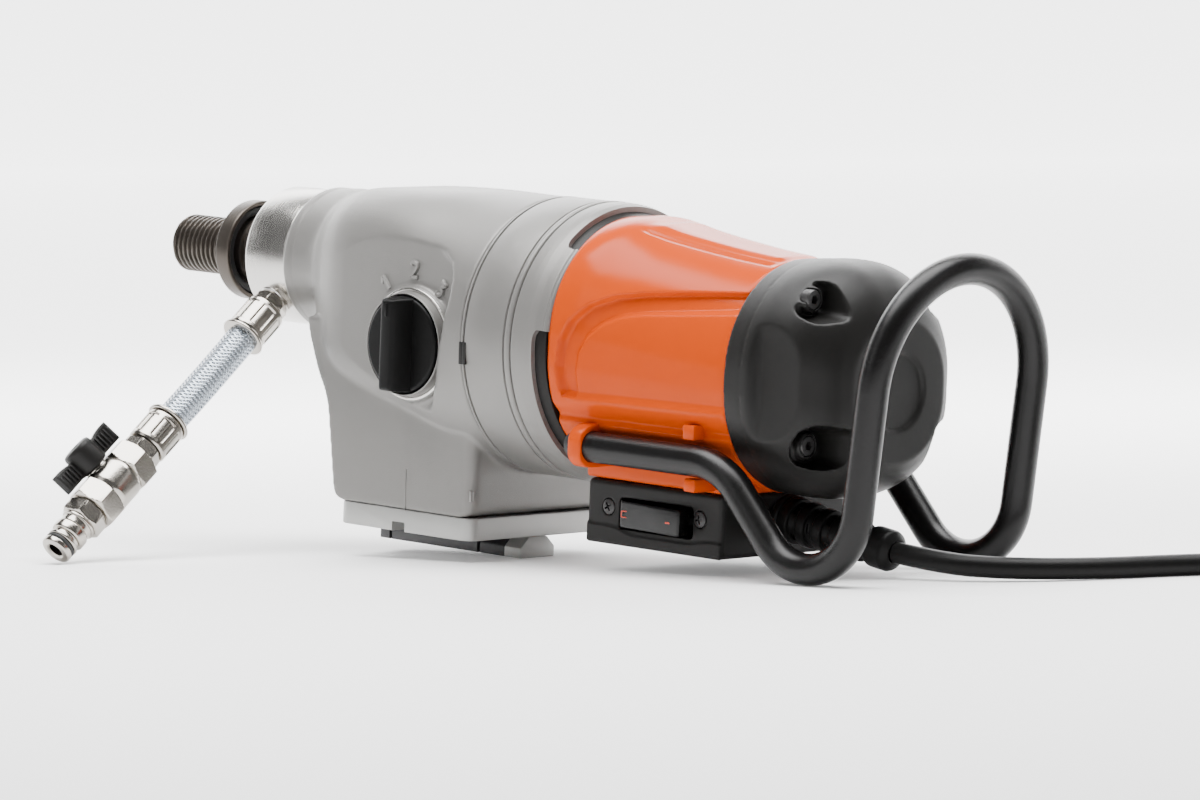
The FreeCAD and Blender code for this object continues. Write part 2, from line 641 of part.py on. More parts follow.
# ---- handle -------------------------------------------------------------------------
def handle_path():
    """Half of the bail, from the front lug to the top of the arch, at y = -HANDLE_HALF."""
    dive, lean = math.radians(DIVE), math.radians(BAR_LEAN)
    y = -HANDLE_HALF
    start = Vector(HANDLE_FRONT, y, HANDLE_LUG_Z)

    def loop_point(angle):
        return Vector(LOOP_X + LOOP_R * math.sin(angle), y, LOOP_Z - LOOP_R * math.cos(angle))

    first, last = -dive, math.pi / 2 - lean
    bottom_in, bottom_out = loop_point(first), loop_point(last)
    corner = Vector(bottom_in.x - (start.z - bottom_in.z) / math.tan(dive), y, start.z)
    trim = HANDLE_BEND * math.tan(dive / 2)
    bend_in = corner - Vector(trim, 0, 0)
    bend_out = corner + Vector(math.cos(dive), 0, -math.sin(dive)) * trim
    drop = HANDLE_BEND * (1 - math.cos(dive / 2))
    bend_mid = Vector(bend_in.x + HANDLE_BEND * math.sin(dive / 2), y, start.z - drop)
    rise = Vector(math.sin(lean), 0, math.cos(lean))
    bar_end = HANDLE_TOP - HANDLE_HALF * math.cos(lean)
    bar_top = bottom_out + rise * ((bar_end - bottom_out.z) / rise.z)
    centre = bar_top + Vector(0, HANDLE_HALF, 0)
    arch_top = centre + rise * HANDLE_HALF
    arch_mid = centre + (rise - Vector(0, 1, 0)) * (HANDLE_HALF * math.sqrt(0.5))
    return [
        Part.LineSegment(start, bend_in).toShape(),
        Part.Arc(bend_in, bend_mid, bend_out).toShape(),
        Part.LineSegment(bend_out, bottom_in).toShape(),
        Part.Arc(bottom_in, loop_point((first + last) / 2), bottom_out).toShape(),
        Part.LineSegment(bottom_out, bar_top).toShape(),
        Part.Arc(bar_top, arch_mid, arch_top).toShape(),
    ]


def handle_tube():
    start = Vector(HANDLE_FRONT, -HANDLE_HALF, HANDLE_LUG_Z)
    ring = Part.Wire(Part.makeCircle(HANDLE_R, start, Vector(1, 0, 0)))
    half = Part.Wire(handle_path()).makePipeShell([ring], True, False)
    other = half.mirror(Vector(0, 0, 0), Vector(0, 1, 0))
    return fuse(half, other)


def handle_end_plugs():
    at = [(side * HANDLE_HALF, HANDLE_LUG_Z) for side in (-1, 1)]
    return Part.makeCompound([cyl(HANDLE_FRONT - 3, HANDLE_FRONT, 6.5, centre) for centre in at])


# ---- water hose, valve and coupling --------------------------------------------------
def hose_point(r, side=0.0):
    return Vector(HOSE_X, 0, 0) + HOSE_AXIS * r + HOSE_SIDE * side


def hose_cylinder(r0, r1, radius):
    return Part.makeCylinder(radius, r1 - r0, hose_point(r0), HOSE_AXIS)


def hose_tube(r0, r1, r_out, r_in):
    return hose_cylinder(r0, r1, r_out).cut(hose_cylinder(r0 - 1, r1 + 1, r_in))


def hose_hex(r0, r1, flats, turn=0.0):
    """Hexagon bar along the hose, one flat facing HOSE_SIDE or turned away from it."""
    reach = flats / math.sqrt(3)
    points = []
    for i in range(6):
        angle = math.radians(30 + 60 * i) + turn
        offset = HOSE_SIDE * (reach * math.cos(angle)) - Vector(1, 0, 0) * (reach * math.sin(angle))
        points.append(hose_point(r0) + offset)
    return polygon(points, HOSE_AXIS * (r1 - r0))


def inlet_fitting():
    body = fuse(hose_cylinder(26, 38, 8.0), hose_hex(37.2, 43.5, 17), hose_cylinder(43, 50, 7.2))
    return body.cut(hose_cylinder(25, 60, 4.0))


def ferrule(r0, r1, collar_at):
    barrel = hose_cylinder(r0, r1, 11.2)
    collar = hose_cylinder(collar_at, collar_at + 2.4, 12.6)
    return fuse(barrel, collar)


def upper_ferrule():
    return cut(ferrule(43.6, 66.5, 64.5), hose_cylinder(43, 50.1, 7.3), hose_cylinder(50, 70, HOSE_R + 0.1))


def lower_ferrule():
    barrel = ferrule(132.6, 154.0, 132.2)
    return cut(barrel, hose_cylinder(131, 149, HOSE_R + 0.1), hose_cylinder(148.9, 155, 7.3))


HOSE_POINTS = [(50.2, 0.0), (82.0, -0.9), (117.0, -0.9), (148.8, 0.0)]


def water_hose():
    points = [hose_point(r, side) for r, side in HOSE_POINTS]
    body, radii, length = bent_tube(points, HOSE_R)
    print("water hose: length", round(length, 1), "bend radii", [round(r) for r in radii])
    return body


def valve_unions():
    """The hexagon unions at the two ends of the valve."""
    hose_end = fuse(hose_hex(154.1, 161.5, 19), hose_cylinder(149.0, 156, 7.2))
    coupler_end = fuse(hose_hex(203.5, 213.0, 21), hose_cylinder(212, 218.4, 8.8))
    bore = hose_cylinder(148, 219, 4.0)
    return Part.makeCompound([hose_end.cut(bore), coupler_end.cut(bore)])


def valve_body():
    body = hose_hex(161.5, 203.5, 25, VALVE_TURN)
    chamber = hose_cylinder(172, 193, 9.5)
    bore = hose_cylinder(160, 205, 5.0)
    stem = Part.makeCylinder(4.05, 30, hose_point(VALVE_R), VALVE_AXIS)
    return cut(body, chamber, bore, stem)


def valve_ball():
    ball = Part.makeSphere(9.0, hose_point(VALVE_R))
    stem = Part.makeCylinder(4.0, 17.5, hose_point(VALVE_R), VALVE_AXIS)
    bore = hose_cylinder(160, 205, 4.5)
    return fuse(ball, stem).cut(bore)


def valve_handle():
    """Butterfly handle: a hub with two wings along the hose."""
    base = hose_point(VALVE_R) + VALVE_AXIS * 13.4
    hub = Part.makeCylinder(9.0, 15, base, VALVE_AXIS)
    across = HOSE_AXIS.cross(VALVE_AXIS)
    corner = base - HOSE_AXIS * 22.5 - across * 6.0
    wing = [corner, corner + across * 12, corner + across * 12 + HOSE_AXIS * 45, corner + HOSE_AXIS * 45]
    wings = polygon(wing, VALVE_AXIS * 12)
    stem = Part.makeCylinder(4.0, 6, base - VALVE_AXIS * 1, VALVE_AXIS)
    return fuse(hub, wings).cut(stem)


def coupler_nipple():
    steps = [(218.4, 224.0, 9.6), (223.0, 226.5, 7.6), (226.5, 228.5, 8.9), (228.0, 231.0, 7.0),
             (230.8, 234.4, 8.7)]
    body = fuse(*[hose_cylinder(r0, r1, radius) for r0, r1, radius in steps])
    return body.cut(hose_cylinder(218, 236, NIPPLE_BORE_R))


def coupler_ring():
    return hose_tube(228.55, 230.75, 8.6, 7.0)


# ---- mains cable ----------------------------------------------------------------------
def along_boot(radius, start, length):
    return Part.makeCylinder(radius, length, BOOT_START + BOOT_AXIS * start, BOOT_AXIS)


def cable_boot():
    """Ribbed rubber sleeve, flat against the rear face of the switch box."""
    body = Part.makeCone(10.6, 8.0, BOOT_LENGTH + 3, BOOT_START - BOOT_AXIS * 3, BOOT_AXIS)
    for i in range(5):
        body = body.fuse(along_boot(12.2 - 0.5 * i, 6 + 11 * i, 6))
    past = along_boot(20, BOOT_LENGTH, 10)
    box_side = block(430, SWITCH_REAR, -20, 20, -120, -90)
    return cut(body, box_side, past, along_boot(CABLE_R + 0.05, -10, 90)).removeSplitter()


def cable_collar():
    return along_boot(COLLAR_R, BOOT_LENGTH, COLLAR_LENGTH).cut(along_boot(CABLE_R + 0.05, 50, 40))


def row(point):
    """A tool-frame point in the frame of the resting tool, whose floor is z = 0."""
    return PLACE.multVec(point)


def resting_place():
    turn = Rotation(Vector(0, 1, 0), math.degrees(REST_TILT))
    corner = turn.multVec(Vector(BOX_REAR, 0, RAIL_BOTTOM))
    centre = turn.multVec(Vector(ORIGIN_X, 0, 0))
    return Placement(Vector(-centre.x, -ORIGIN_Y, -corner.z), turn)


PLACE = resting_place()

# The free cable from the collar to its coil, in the resting frame.
CABLE_ROUTE = [row(BOOT_START + BOOT_AXIS * (BOOT_LENGTH + COLLAR_LENGTH))]
CABLE_ROUTE += [Vector(*p) for p in (
    (259.0, 5.7, 8.6),
    (284.0, 17.2, 6.8),
    (304.0, 38.0, 6.0),
    (319.0, 65.0, 5.5),
    (332.0, 96.0, 5.5),
    (352.0, 127.0, 5.5),
    (379.0, 153.0, 5.5),
    (410.0, 174.0, 5.5),
    (443.0, 190.0, 5.5),
)]


def coil_centre():
    """The cable runs into the outer turn, which lies to its right."""
    run = CABLE_ROUTE[-1] - CABLE_ROUTE[-2]
    run.normalize()
    return CABLE_ROUTE[-1] + Vector(run.y, -run.x, 0) * COIL_OUT_R


def tail_start():
    at = coil_centre() + Vector(COIL_OUT_R, 0, 0)
    return Vector(at.x, at.y, TAIL_Z)


def cable_tube():
    """The free run, the length inside the boot, and the short tail from the coil to the plug."""
    body, radii, length = bent_tube(CABLE_ROUTE, CABLE_R)
    print("cable: free run", round(length, 1), "bend radii", [round(r) for r in radii])
    area = math.pi * CABLE_R ** 2
    print("cable: volume against section times length", round(body.Volume / (area * length), 4))
    mean_r = COIL_OUT_R - COIL_TURNS / COIL_LAYERS * CABLE_R
    total = length + 2 * math.pi * mean_r * COIL_TURNS + TAIL
    print("cable: whole length", round(total), "coil centre", coil_centre())
    inside = along_boot(CABLE_R, -4, BOOT_LENGTH + COLLAR_LENGTH + 4)
    inside.Placement = PLACE.multiply(inside.Placement)
    tail = Part.makeCylinder(CABLE_R, TAIL, tail_start(), Vector(0, -1, 0))
    return Part.makeCompound([body, inside, tail])


def cable_coil():
    inner = COIL_OUT_R - COIL_TURNS / COIL_LAYERS * 2 * CABLE_R - CABLE_R
    height = COIL_LAYERS * 2 * CABLE_R
    at = coil_centre()
    ring = upright(COIL_OUT_R + CABLE_R, 0, height, at.x, at.y)
    return ring.cut(upright(inner, -1, height + 1, at.x, at.y))


def mains_plug():
    """Straight rubber plug lying on the floor, with its two round pins."""
    at = tail_start() - Vector(0, TAIL, 0)
    along = Vector(0, -1, 0)
    centre = Vector(at.x, at.y, PLUG_R)
    neck = Part.makeCone(8.5, 15.0, 24, centre, along)
    body = Part.makeCylinder(PLUG_R, 22, centre + along * 24, along)
    pins = []
    for side in (-9.5, 9.5):
        pins.append(Part.makeCylinder(2.4, 19, centre + along * 46 + Vector(side, 0, 0), along))
    return Part.makeCompound([fuse(neck, body)] + pins)


BUILDERS = [
    gear_housing_front, gear_housing_middle, vent_ring, bearing_plate_front, bearing_plate_rear,
    base_plate, mounting_rail, mounting_screws,
    spindle, spindle_flange, water_sleeve, spindle_seals, spindle_bearings,
    layshaft_b, layshaft_b_gear, layshaft_a, layshaft_a_gear, layshaft_bearings,
    shift_rail, shift_fork, draw_key, knob_shaft, gear_knob,
    motor_housing, end_cap, end_cap_screws, motor_bearings, armature_shaft, armature_core,
    armature_windings, commutator, cooling_fan, field_stator, field_windings, brush_holders,
    carbon_brushes, switch_box, panel_screws, switch_rocker, electronics_module,
    handle_tube, handle_end_plugs,
    inlet_fitting, upper_ferrule, water_hose, lower_ferrule, valve_unions, valve_body, valve_ball,
    valve_handle, coupler_nipple, coupler_ring, cable_boot, cable_collar,
]
CABLE_BUILDERS = [cable_tube, cable_coil, mains_plug]


def model():
    parts = {}
    for build in BUILDERS:
        shape = build()
        shape.Placement = PLACE.multiply(shape.Placement)
        parts[build.__name__] = shape
    for index, (name, *_) in enumerate(SPEEDS):
        shape = speed_gear(index)
        shape.Placement = PLACE.multiply(shape.Placement)
        parts["speed_gear_" + name] = shape
    for build in CABLE_BUILDERS:
        parts[build.__name__] = build()
    return parts


def main():
    os.makedirs("parts", exist_ok=True)
    for name, shape in model().items():
        shape.exportStep(os.path.join("parts", name + ".step"))
        if not shape.isValid():
            print("not valid:", name)


main()
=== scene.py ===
import json
from math import asin, atan2, cos, inf, pi, radians, sin, sqrt, tan
import bpy
import bmesh
from mathutils import Matrix, Vector


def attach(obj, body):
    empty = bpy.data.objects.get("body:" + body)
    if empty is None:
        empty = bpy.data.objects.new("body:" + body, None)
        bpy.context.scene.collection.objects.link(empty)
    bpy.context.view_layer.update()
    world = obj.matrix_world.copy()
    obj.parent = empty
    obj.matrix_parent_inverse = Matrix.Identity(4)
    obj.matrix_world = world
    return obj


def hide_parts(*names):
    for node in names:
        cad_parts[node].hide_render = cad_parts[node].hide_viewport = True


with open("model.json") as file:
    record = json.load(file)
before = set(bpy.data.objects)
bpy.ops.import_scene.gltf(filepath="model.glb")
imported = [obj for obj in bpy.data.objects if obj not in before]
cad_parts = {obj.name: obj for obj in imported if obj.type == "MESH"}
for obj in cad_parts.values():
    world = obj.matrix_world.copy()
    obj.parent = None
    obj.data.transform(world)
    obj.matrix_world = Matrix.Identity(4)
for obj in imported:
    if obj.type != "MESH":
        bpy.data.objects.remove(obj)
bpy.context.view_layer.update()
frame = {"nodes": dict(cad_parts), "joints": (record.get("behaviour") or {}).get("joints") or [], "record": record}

scene = bpy.context.scene

# ---- the tool's own frame (mm) in the row frame (m)
spin = next(j for j in frame["joints"] if j["name"] == "spindle_spin")
thread = next(m for m in frame["record"]["mounts"] if m["name"] == "spindle_thread")
AX = Vector(spin["axis"]).normalized()
AY = Vector((0, 1, 0))
AZ = AX.cross(AY)
ORIGIN = Vector(thread["pos_m"]) - AX * 0.023
TOOL = Matrix((AX, AY, AZ)).transposed().to_4x4() @ Matrix.Scale(0.001, 4)
TOOL.translation = ORIGIN
MM = Matrix.Scale(0.001, 4)


def move(x, y, z):
    """Matrix of a plain shift."""
    return Matrix.Translation((x, y, z))


def place(x, y, z):
    """A point of the tool, in the row frame."""
    return TOOL @ Vector((x, y, z))


def turn_of(x, y, z):
    """A direction of the tool, in the row frame."""
    return (AX * x + AY * y + AZ * z).normalized()


# ---- camera
az, pitch, roll = 0.7612, 0.0973, 0.0384
CAMERA_AT = (2703.37, -2505.53, 280.44)     # millimetres in the tool's own frame
ACROSS = Vector((cos(az), sin(az), 0))
AWAY = Vector((-sin(az), cos(az), 0))
ahead = Vector((-sin(az) * cos(pitch), cos(az) * cos(pitch), -sin(pitch)))
level_up = ACROSS.cross(ahead)
right = ACROSS * cos(roll) + level_up * sin(roll)
up = level_up * cos(roll) - ACROSS * sin(roll)
cam_data = bpy.data.cameras.new("camera")
cam_data.lens = 201
cam_data.sensor_width = 36
cam_data.clip_end = 50
camera = bpy.data.objects.new("camera", cam_data)
scene.collection.objects.link(camera)
camera.matrix_world = Matrix([turn_of(*v) for v in (right, up, -ahead)]).transposed().to_4x4()
camera.matrix_world.translation = place(*CAMERA_AT)
scene.camera = camera


# ---- materials
def add(tree, kind, settings=None, feeds=None, **modes):
    """Add a shader node, set constants on its sockets and link sources into them."""
    node = tree.nodes.new("ShaderNode" + kind)
    for key, value in modes.items():
        setattr(node, key, value)
    for socket, value in (settings or {}).items():
        node.inputs[socket].default_value = value
    for socket, source in (feeds or {}).items():
        tree.links.new(source, node.inputs[socket])
    return node


def new_material(name):
    """A node material with its tree and its principled shader."""
    mat = bpy.data.materials.new(name)
    mat.use_nodes = True
    return mat, mat.node_tree, mat.node_tree.nodes["Principled BSDF"]


def surface(name, color, rough, metal=0, bump=0.05, grain=1400, spread=0.06, coat=0,
            wear=0, along=None, tint=0.1, shine=0.5):
    """Noise-driven colour, roughness and bump; along stretches the grain round a direction."""
    mat, tree, bsdf = new_material(name)
    bsdf.inputs["Metallic"].default_value = metal
    bsdf.inputs["Coat Weight"].default_value = coat
    bsdf.inputs["Specular IOR Level"].default_value = shine
    bsdf.inputs["Coat Roughness"].default_value = 0.08
    at = add(tree, "TexCoord").outputs["Object"]
    mapping = add(tree, "Mapping", feeds={"Vector": at})
    if along:
        mapping.inputs["Rotation"].default_value = (0, asin(-AX.z), 0)
        mapping.inputs["Scale"].default_value = along
    fine = add(tree, "TexNoise", {"Scale": grain, "Detail": 4}, {"Vector": mapping.outputs[0]}).outputs[0]
    broad = add(tree, "TexNoise", {"Scale": 38, "Detail": 5}, {"Vector": at}).outputs[0]
    weak = add(tree, "Math", {1: 0.6}, {0: broad}, operation="MULTIPLY").outputs[0]
    both = add(tree, "Math", {1: 0.4}, {0: fine, 2: weak}, operation="MULTIPLY_ADD").outputs[0]
    shade = add(tree, "MapRange", {"To Min": max(0.03, rough - spread), "To Max": rough + spread},
                {"Value": both})
    tree.links.new(shade.outputs[0], bsdf.inputs["Roughness"])
    dark, light = [c * (1 - tint) for c in color], [min(1, c * (1 + tint)) for c in color]
    top = add(tree, "Mix", {6: (*dark, 1), 7: (*light, 1)}, {0: both}, data_type="RGBA").outputs[2]
    if wear:
        point = add(tree, "NewGeometry").outputs["Pointiness"]
        edge = add(tree, "MapRange", {"From Min": 0.53, "From Max": 0.62, "To Max": wear}, {"Value": point})
        worn = [min(1, c * 1.6 + 0.12) for c in color]
        top = add(tree, "Mix", {7: (*worn, 1)}, {0: edge.outputs[0], 6: top}, data_type="RGBA").outputs[2]
    tree.links.new(top, bsdf.inputs["Base Color"])
    lift = add(tree, "Bump", {"Strength": bump, "Distance": 0.0004}, {"Height": fine})
    tree.links.new(lift.outputs[0], bsdf.inputs["Normal"])
    return mat


TURNED = (1, 0.02, 0.02)
LOOK = {
    "grey_housing": surface("cast_grey", (0.185, 0.18, 0.172), 0.36, 0.42, 0.35, 2600, wear=0.18,
                            tint=0.06, shine=0.35),
    "plate_metal": surface("milled_plate", (0.36, 0.36, 0.35), 0.4, 0.6, 0.2, 1800, 0.08, wear=0.2),
    "black_plastic": surface("charcoal_plastic", (0.0062, 0.0058, 0.0054), 0.4, 0, 0.3, 3200, 0.05,
                             wear=0.1, shine=0.2),
    "orange_plastic": surface("orange_gloss", (0.5, 0.052, 0.0003), 0.2, 0, 0.03, 900, 0.04,
                              tint=0.04, shine=0.1),
    "steel": surface("dark_steel", (0.075, 0.064, 0.055), 0.36, 0.85, 0.3, 1500, 0.08, along=TURNED,
                     wear=0.15),
    "black_screws": surface("black_oxide", (0.035, 0.034, 0.034), 0.36, 0.6, 0.2, 2500, 0.08, wear=0.2),
    "laminated_iron": surface("laminations", (0.12, 0.12, 0.125), 0.5, 0.8, 0.5, 900, 0.1, along=TURNED),
    "copper": surface("enamelled_copper", (0.45, 0.16, 0.06), 0.3, 0.9, 0.3, 900, 0.1, along=(0.05, 1, 1)),
    "turned_aluminium": surface("bright_turned", (0.56, 0.545, 0.52), 0.24, 1, 0.2, 1500, 0.06,
                                along=TURNED),
    "seal_rubber": surface("seal_rubber", (0.01, 0.01, 0.01), 0.55, 0, 0.3, 2000, 0.05),
    "carbon": surface("carbon_block", (0.02, 0.02, 0.02), 0.6, 0, 0.4, 2000, 0.1),
    "rocker_plastic": surface("rocker_black", (0.002, 0.002, 0.002), 0.2, 0, 0.1, 1800, 0.05, shine=0.25),
    "black_tube": surface("black_powder", (0.004, 0.0038, 0.0038), 0.26, 0, 0.25, 2600, 0.05, wear=0.02,
                          shine=0.24),
    "nickel": surface("nickel_plate", (0.4, 0.375, 0.34), 0.2, 1, 0.1, 900, 0.07),
    "braided_hose": surface("steel_braid", (0.55, 0.6, 0.66), 0.3, 0.9, 0.2, 2500, 0.08),
    "cable_rubber": surface("cable_rubber", (0.003, 0.0029, 0.0028), 0.42, 0, 0.3, 1600, 0.06, shine=0.16),
}
slot_of = {s["node"]: s["material_slot"] for s in frame["record"]["subparts"]}
for node, ob in frame["nodes"].items():
    ob.data.materials.clear()
    ob.data.materials.append(LOOK[slot_of[node]])


# ---- small mesh tools
def put(name, bm, look, body="main_body", hide=(), slot=None, angle=32, frame_mm=TOOL):
    """Turn a mesh drawn in millimetres into a named object that rides on a body."""
    bm.transform(frame_mm)
    bmesh.ops.recalc_face_normals(bm, faces=bm.faces)
    mesh = bpy.data.meshes.new(name)
    bm.to_mesh(mesh)
    bm.free()
    return dress(mesh_object(name, mesh), look, body, hide, slot, angle)


def mesh_object(name, mesh):
    ob = bpy.data.objects.new(name, mesh)
    scene.collection.objects.link(ob)
    return ob


def dress(ob, look, body="main_body", hide=(), slot=None, angle=32):
    """Give a piece its look and body, and hide the nodes it replaces."""
    mesh = ob.data
    if ob.type == "MESH":
        mesh.polygons.foreach_set("use_smooth", [True] * len(mesh.polygons))
        if angle:
            mesh.set_sharp_from_angle(angle=radians(angle))
    mesh.materials.clear()
    mesh.materials.append(LOOK[look] if isinstance(look, str) else look)
    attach(ob, body)
    if hide:
        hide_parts(*hide)
    return ob


def soft(points, r, closed=False, steps=3):
    """Round the corners of a list of 2-D points."""
    out = []
    count = len(points)
    for i, p in enumerate(points):
        if not closed and i in (0, count - 1):
            out.append(p)
            continue
        p0, here, p1 = Vector(points[i - 1]), Vector(p), Vector(points[(i + 1) % count])
        back, on = p0 - here, p1 - here
        trim = min(r, 0.45 * back.length, 0.45 * on.length)
        start, end = here + back.normalized() * trim, here + on.normalized() * trim
        for k in range(steps + 1):
            t = k / steps
            out.append(tuple(start * (1 - t) ** 2 + here * (2 * t * (1 - t)) + end * t ** 2))
    return out


def basis(origin, axis, side=None):
    """Matrix whose X runs along the axis."""
    x = Vector(axis).normalized()
    z = Vector(side) if side else x.orthogonal()
    y = z.cross(x).normalized()
    z = x.cross(y).normalized()
    m = Matrix((x, y, z)).transposed().to_4x4()
    m.translation = Vector(origin)
    return m


def rings(bm, loops, closed=False):
    """Skin a list of equal vertex loops, closed into a ring or capped at both ends."""
    made = [[bm.verts.new(p) for p in loop] for loop in loops]
    n = len(made[0])
    pairs = list(zip(made, made[1:]))
    if closed:
        pairs.append((made[-1], made[0]))
    for a, b in pairs:
        for i in range(n):
            bm.faces.new((a[i], a[(i + 1) % n], b[(i + 1) % n], b[i]))
    if not closed:
        bm.faces.new(made[0])
        bm.faces.new(made[-1])


def lathe(bm, profile, at, seg=96, closed=False, shape=None):
    """Revolve (x, r) points about the X axis of the matrix; shape may change r by angle."""
    loops = []
    for x, r in profile:
        loop = []
        for i in range(seg):
            a = 2 * pi * i / seg
            here = shape(x, r, a) if shape else r
            loop.append(at @ Vector((x, here * sin(a), here * cos(a))))
        loops.append(loop)
    rings(bm, loops, closed)


def prism(bm, outline, at, height, bevel=0, steps=2):
    """Extrude an outline in the Y-Z plane of the matrix along its X, with soft edges."""
    mid = sum((Vector(p) for p in outline), Vector((0, 0))) / len(outline)
    turns = [pi / 2 * k / steps for k in range(steps + 1 if bevel else 1)]
    levels = [(bevel * (1 - cos(a)), bevel * (1 - sin(a))) for a in turns]
    levels += [(height - x, inset) for x, inset in reversed(levels)]
    loops = []
    for x, inset in levels:
        loop = [Vector(p) + (mid - Vector(p)).normalized() * inset for p in outline]
        loops.append([at @ Vector((x, q.x, q.y)) for q in loop])
    rings(bm, loops)


def box_mesh(bm, lo, hi, bevel=0, steps=2):
    """A box between two corners, with rounded edges if a bevel is given."""
    made = bmesh.ops.create_cube(bm, size=1)
    lo, hi = Vector(lo), Vector(hi)
    for v in made["verts"]:
        v.co = Vector([(c + 0.5) * (b - a) + a for c, a, b in zip(v.co, lo, hi)])
    if bevel:
        edges = list({e for v in made["verts"] for e in v.link_edges})
        bmesh.ops.bevel(bm, geom=edges, offset=bevel, segments=steps, affect="EDGES", profile=0.5)


def block_line(y, z0, z1, r, steps=2):
    """Rounded rectangle outline, symmetric in y."""
    return soft([(-y, z0), (y, z0), (y, z1), (-y, z1)], r, True, steps)


def turned(name, profile, at, look, seg=96, r=0.3, steps=3, closed=True, **more):
    """One turned piece with softened corners."""
    bm = bmesh.new()
    lathe(bm, soft(profile, r, closed, steps), at, seg, closed=closed)
    return put(name, bm, look, **more)


def temp(bm):
    """A plain object in tool millimetres, used only while a casting is being shaped."""
    bmesh.ops.recalc_face_normals(bm, faces=bm.faces)
    mesh = bpy.data.meshes.new("scratch")
    bm.to_mesh(mesh)
    bm.free()
    return mesh_object("scratch", mesh)


def round_solid(profile, at, seg, closed=False):
    """A turned scratch solid."""
    bm = bmesh.new()
    lathe(bm, profile, at, seg, closed)
    return temp(bm)


def skinned(loops, closed=False):
    """A scratch solid from a list of loops."""
    bm = bmesh.new()
    rings(bm, loops, closed)
    return temp(bm)


def settle(ob):
    """Apply the modifiers of an object."""
    deps = bpy.context.evaluated_depsgraph_get()
    mesh = bpy.data.meshes.new_from_object(ob.evaluated_get(deps))
    ob.modifiers.clear()
    old = ob.data
    ob.data = mesh
    bpy.data.meshes.remove(old)
    return ob


def combine(ob, tool, how):
    """Apply one exact boolean and drop the tool."""
    mod = ob.modifiers.new("cut", "BOOLEAN")
    mod.operation = how
    mod.solver = "EXACT"
    mod.object = tool
    settle(ob)
    mesh = tool.data
    bpy.data.objects.remove(tool)
    bpy.data.meshes.remove(mesh)
    return ob


def join(ob, tool):
    return combine(ob, tool, "UNION")


def cut(ob, tool):
    return combine(ob, tool, "DIFFERENCE")


def cast(ob, voxel, rounds):
    """Voxel remesh and smoothing: the soft fillets of a casting."""
    mod = ob.modifiers.new("voxels", "REMESH")
    mod.mode = "VOXEL"
    mod.voxel_size = voxel
    smooth = ob.modifiers.new("smooth", "SMOOTH")
    smooth.factor = 0.5
    smooth.iterations = rounds
    return settle(ob)


def deliver(ob, name, look, **more):
    """Name a shaped solid and carry it over from tool millimetres to the row frame."""
    ob.data.transform(TOOL)
    ob.name = name
    return dress(ob, look, **more)


def superoval(half, top, bottom, r, count):
    """Rounded rectangle (y, z) points with even spacing, starting at the top."""
    wide, tall, bend = 2 * (half - r), top - bottom - 2 * r, pi / 2 * r
    corners = ((wide, half - r, top - r), (tall, half - r, bottom + r),
               (wide, r - half, bottom + r), (tall, r - half, top - r))
    total = 2 * wide + 2 * tall + 4 * bend
    out = []
    for i in range(count):
        s = (total * i / count + wide / 2) % total
        for k, (run, y, z) in enumerate(corners):
            if s <= run + bend or k == 3:
                break
            s -= run + bend
        a = k * pi / 2 + max(0, s - run) / r
        short = min(0, s - run)
        out.append((y + r * sin(a) + short * cos(a), z + r * cos(a) - short * sin(a)))
    return out


def ease(t):
    """Smooth step between 0 and 1."""
    t = max(0, min(1, t))
    return t * t * (3 - 2 * t)


def smooth_rows(rows, x):
    """Catmull-Rom through the section table."""
    i = max(k for k in range(len(rows) - 1) if rows[k][0] <= x or k == 0)
    a, b = rows[i], rows[i + 1]
    before_a, after_b = rows[max(0, i - 1)], rows[min(len(rows) - 1, i + 2)]
    span = b[0] - a[0]
    t = max(0, min(1, (x - a[0]) / span))
    out = []
    for k in range(1, len(a)):
        m0 = (b[k] - before_a[k]) / (b[0] - before_a[0]) * span
        m1 = (after_b[k] - a[k]) / (after_b[0] - a[0]) * span
        h = (2 * t ** 3 - 3 * t ** 2 + 1) * a[k] + (t ** 3 - 2 * t ** 2 + t) * m0
        h += (3 * t ** 2 - 2 * t ** 3) * b[k] + (t ** 3 - t ** 2) * m1
        out.append(h)
    return out


# ---- mains cable: one open spline on the route of the CAD cable
HOSE_DOWN = radians(39.7)
HOSE_AXIS = Vector((0, -cos(HOSE_DOWN), -sin(HOSE_DOWN)))
HOSE_SIDE = Vector((0, -sin(HOSE_DOWN), cos(HOSE_DOWN)))
BOOT_AXIS = Vector((cos(radians(7.5)), 0, -sin(radians(7.5))))
BOOT_START = Vector((448, 0, -104))
CABLE_R = 0.0055


def spline_object(name, points, radius, around=10):
    """One open NURBS line with a round section."""
    curve = bpy.data.curves.new(name, "CURVE")
    curve.dimensions = "3D"
    line = curve.splines.new("NURBS")
    line.points.add(len(points) - 1)
    for point, p in zip(line.points, points):
        point.co = (*p, 1)
    line.order_u = 3
    line.use_endpoint_u = True
    line.resolution_u = 5
    curve.bevel_depth = radius
    curve.bevel_resolution = around
    curve.use_fill_caps = True
    return mesh_object(name, curve)


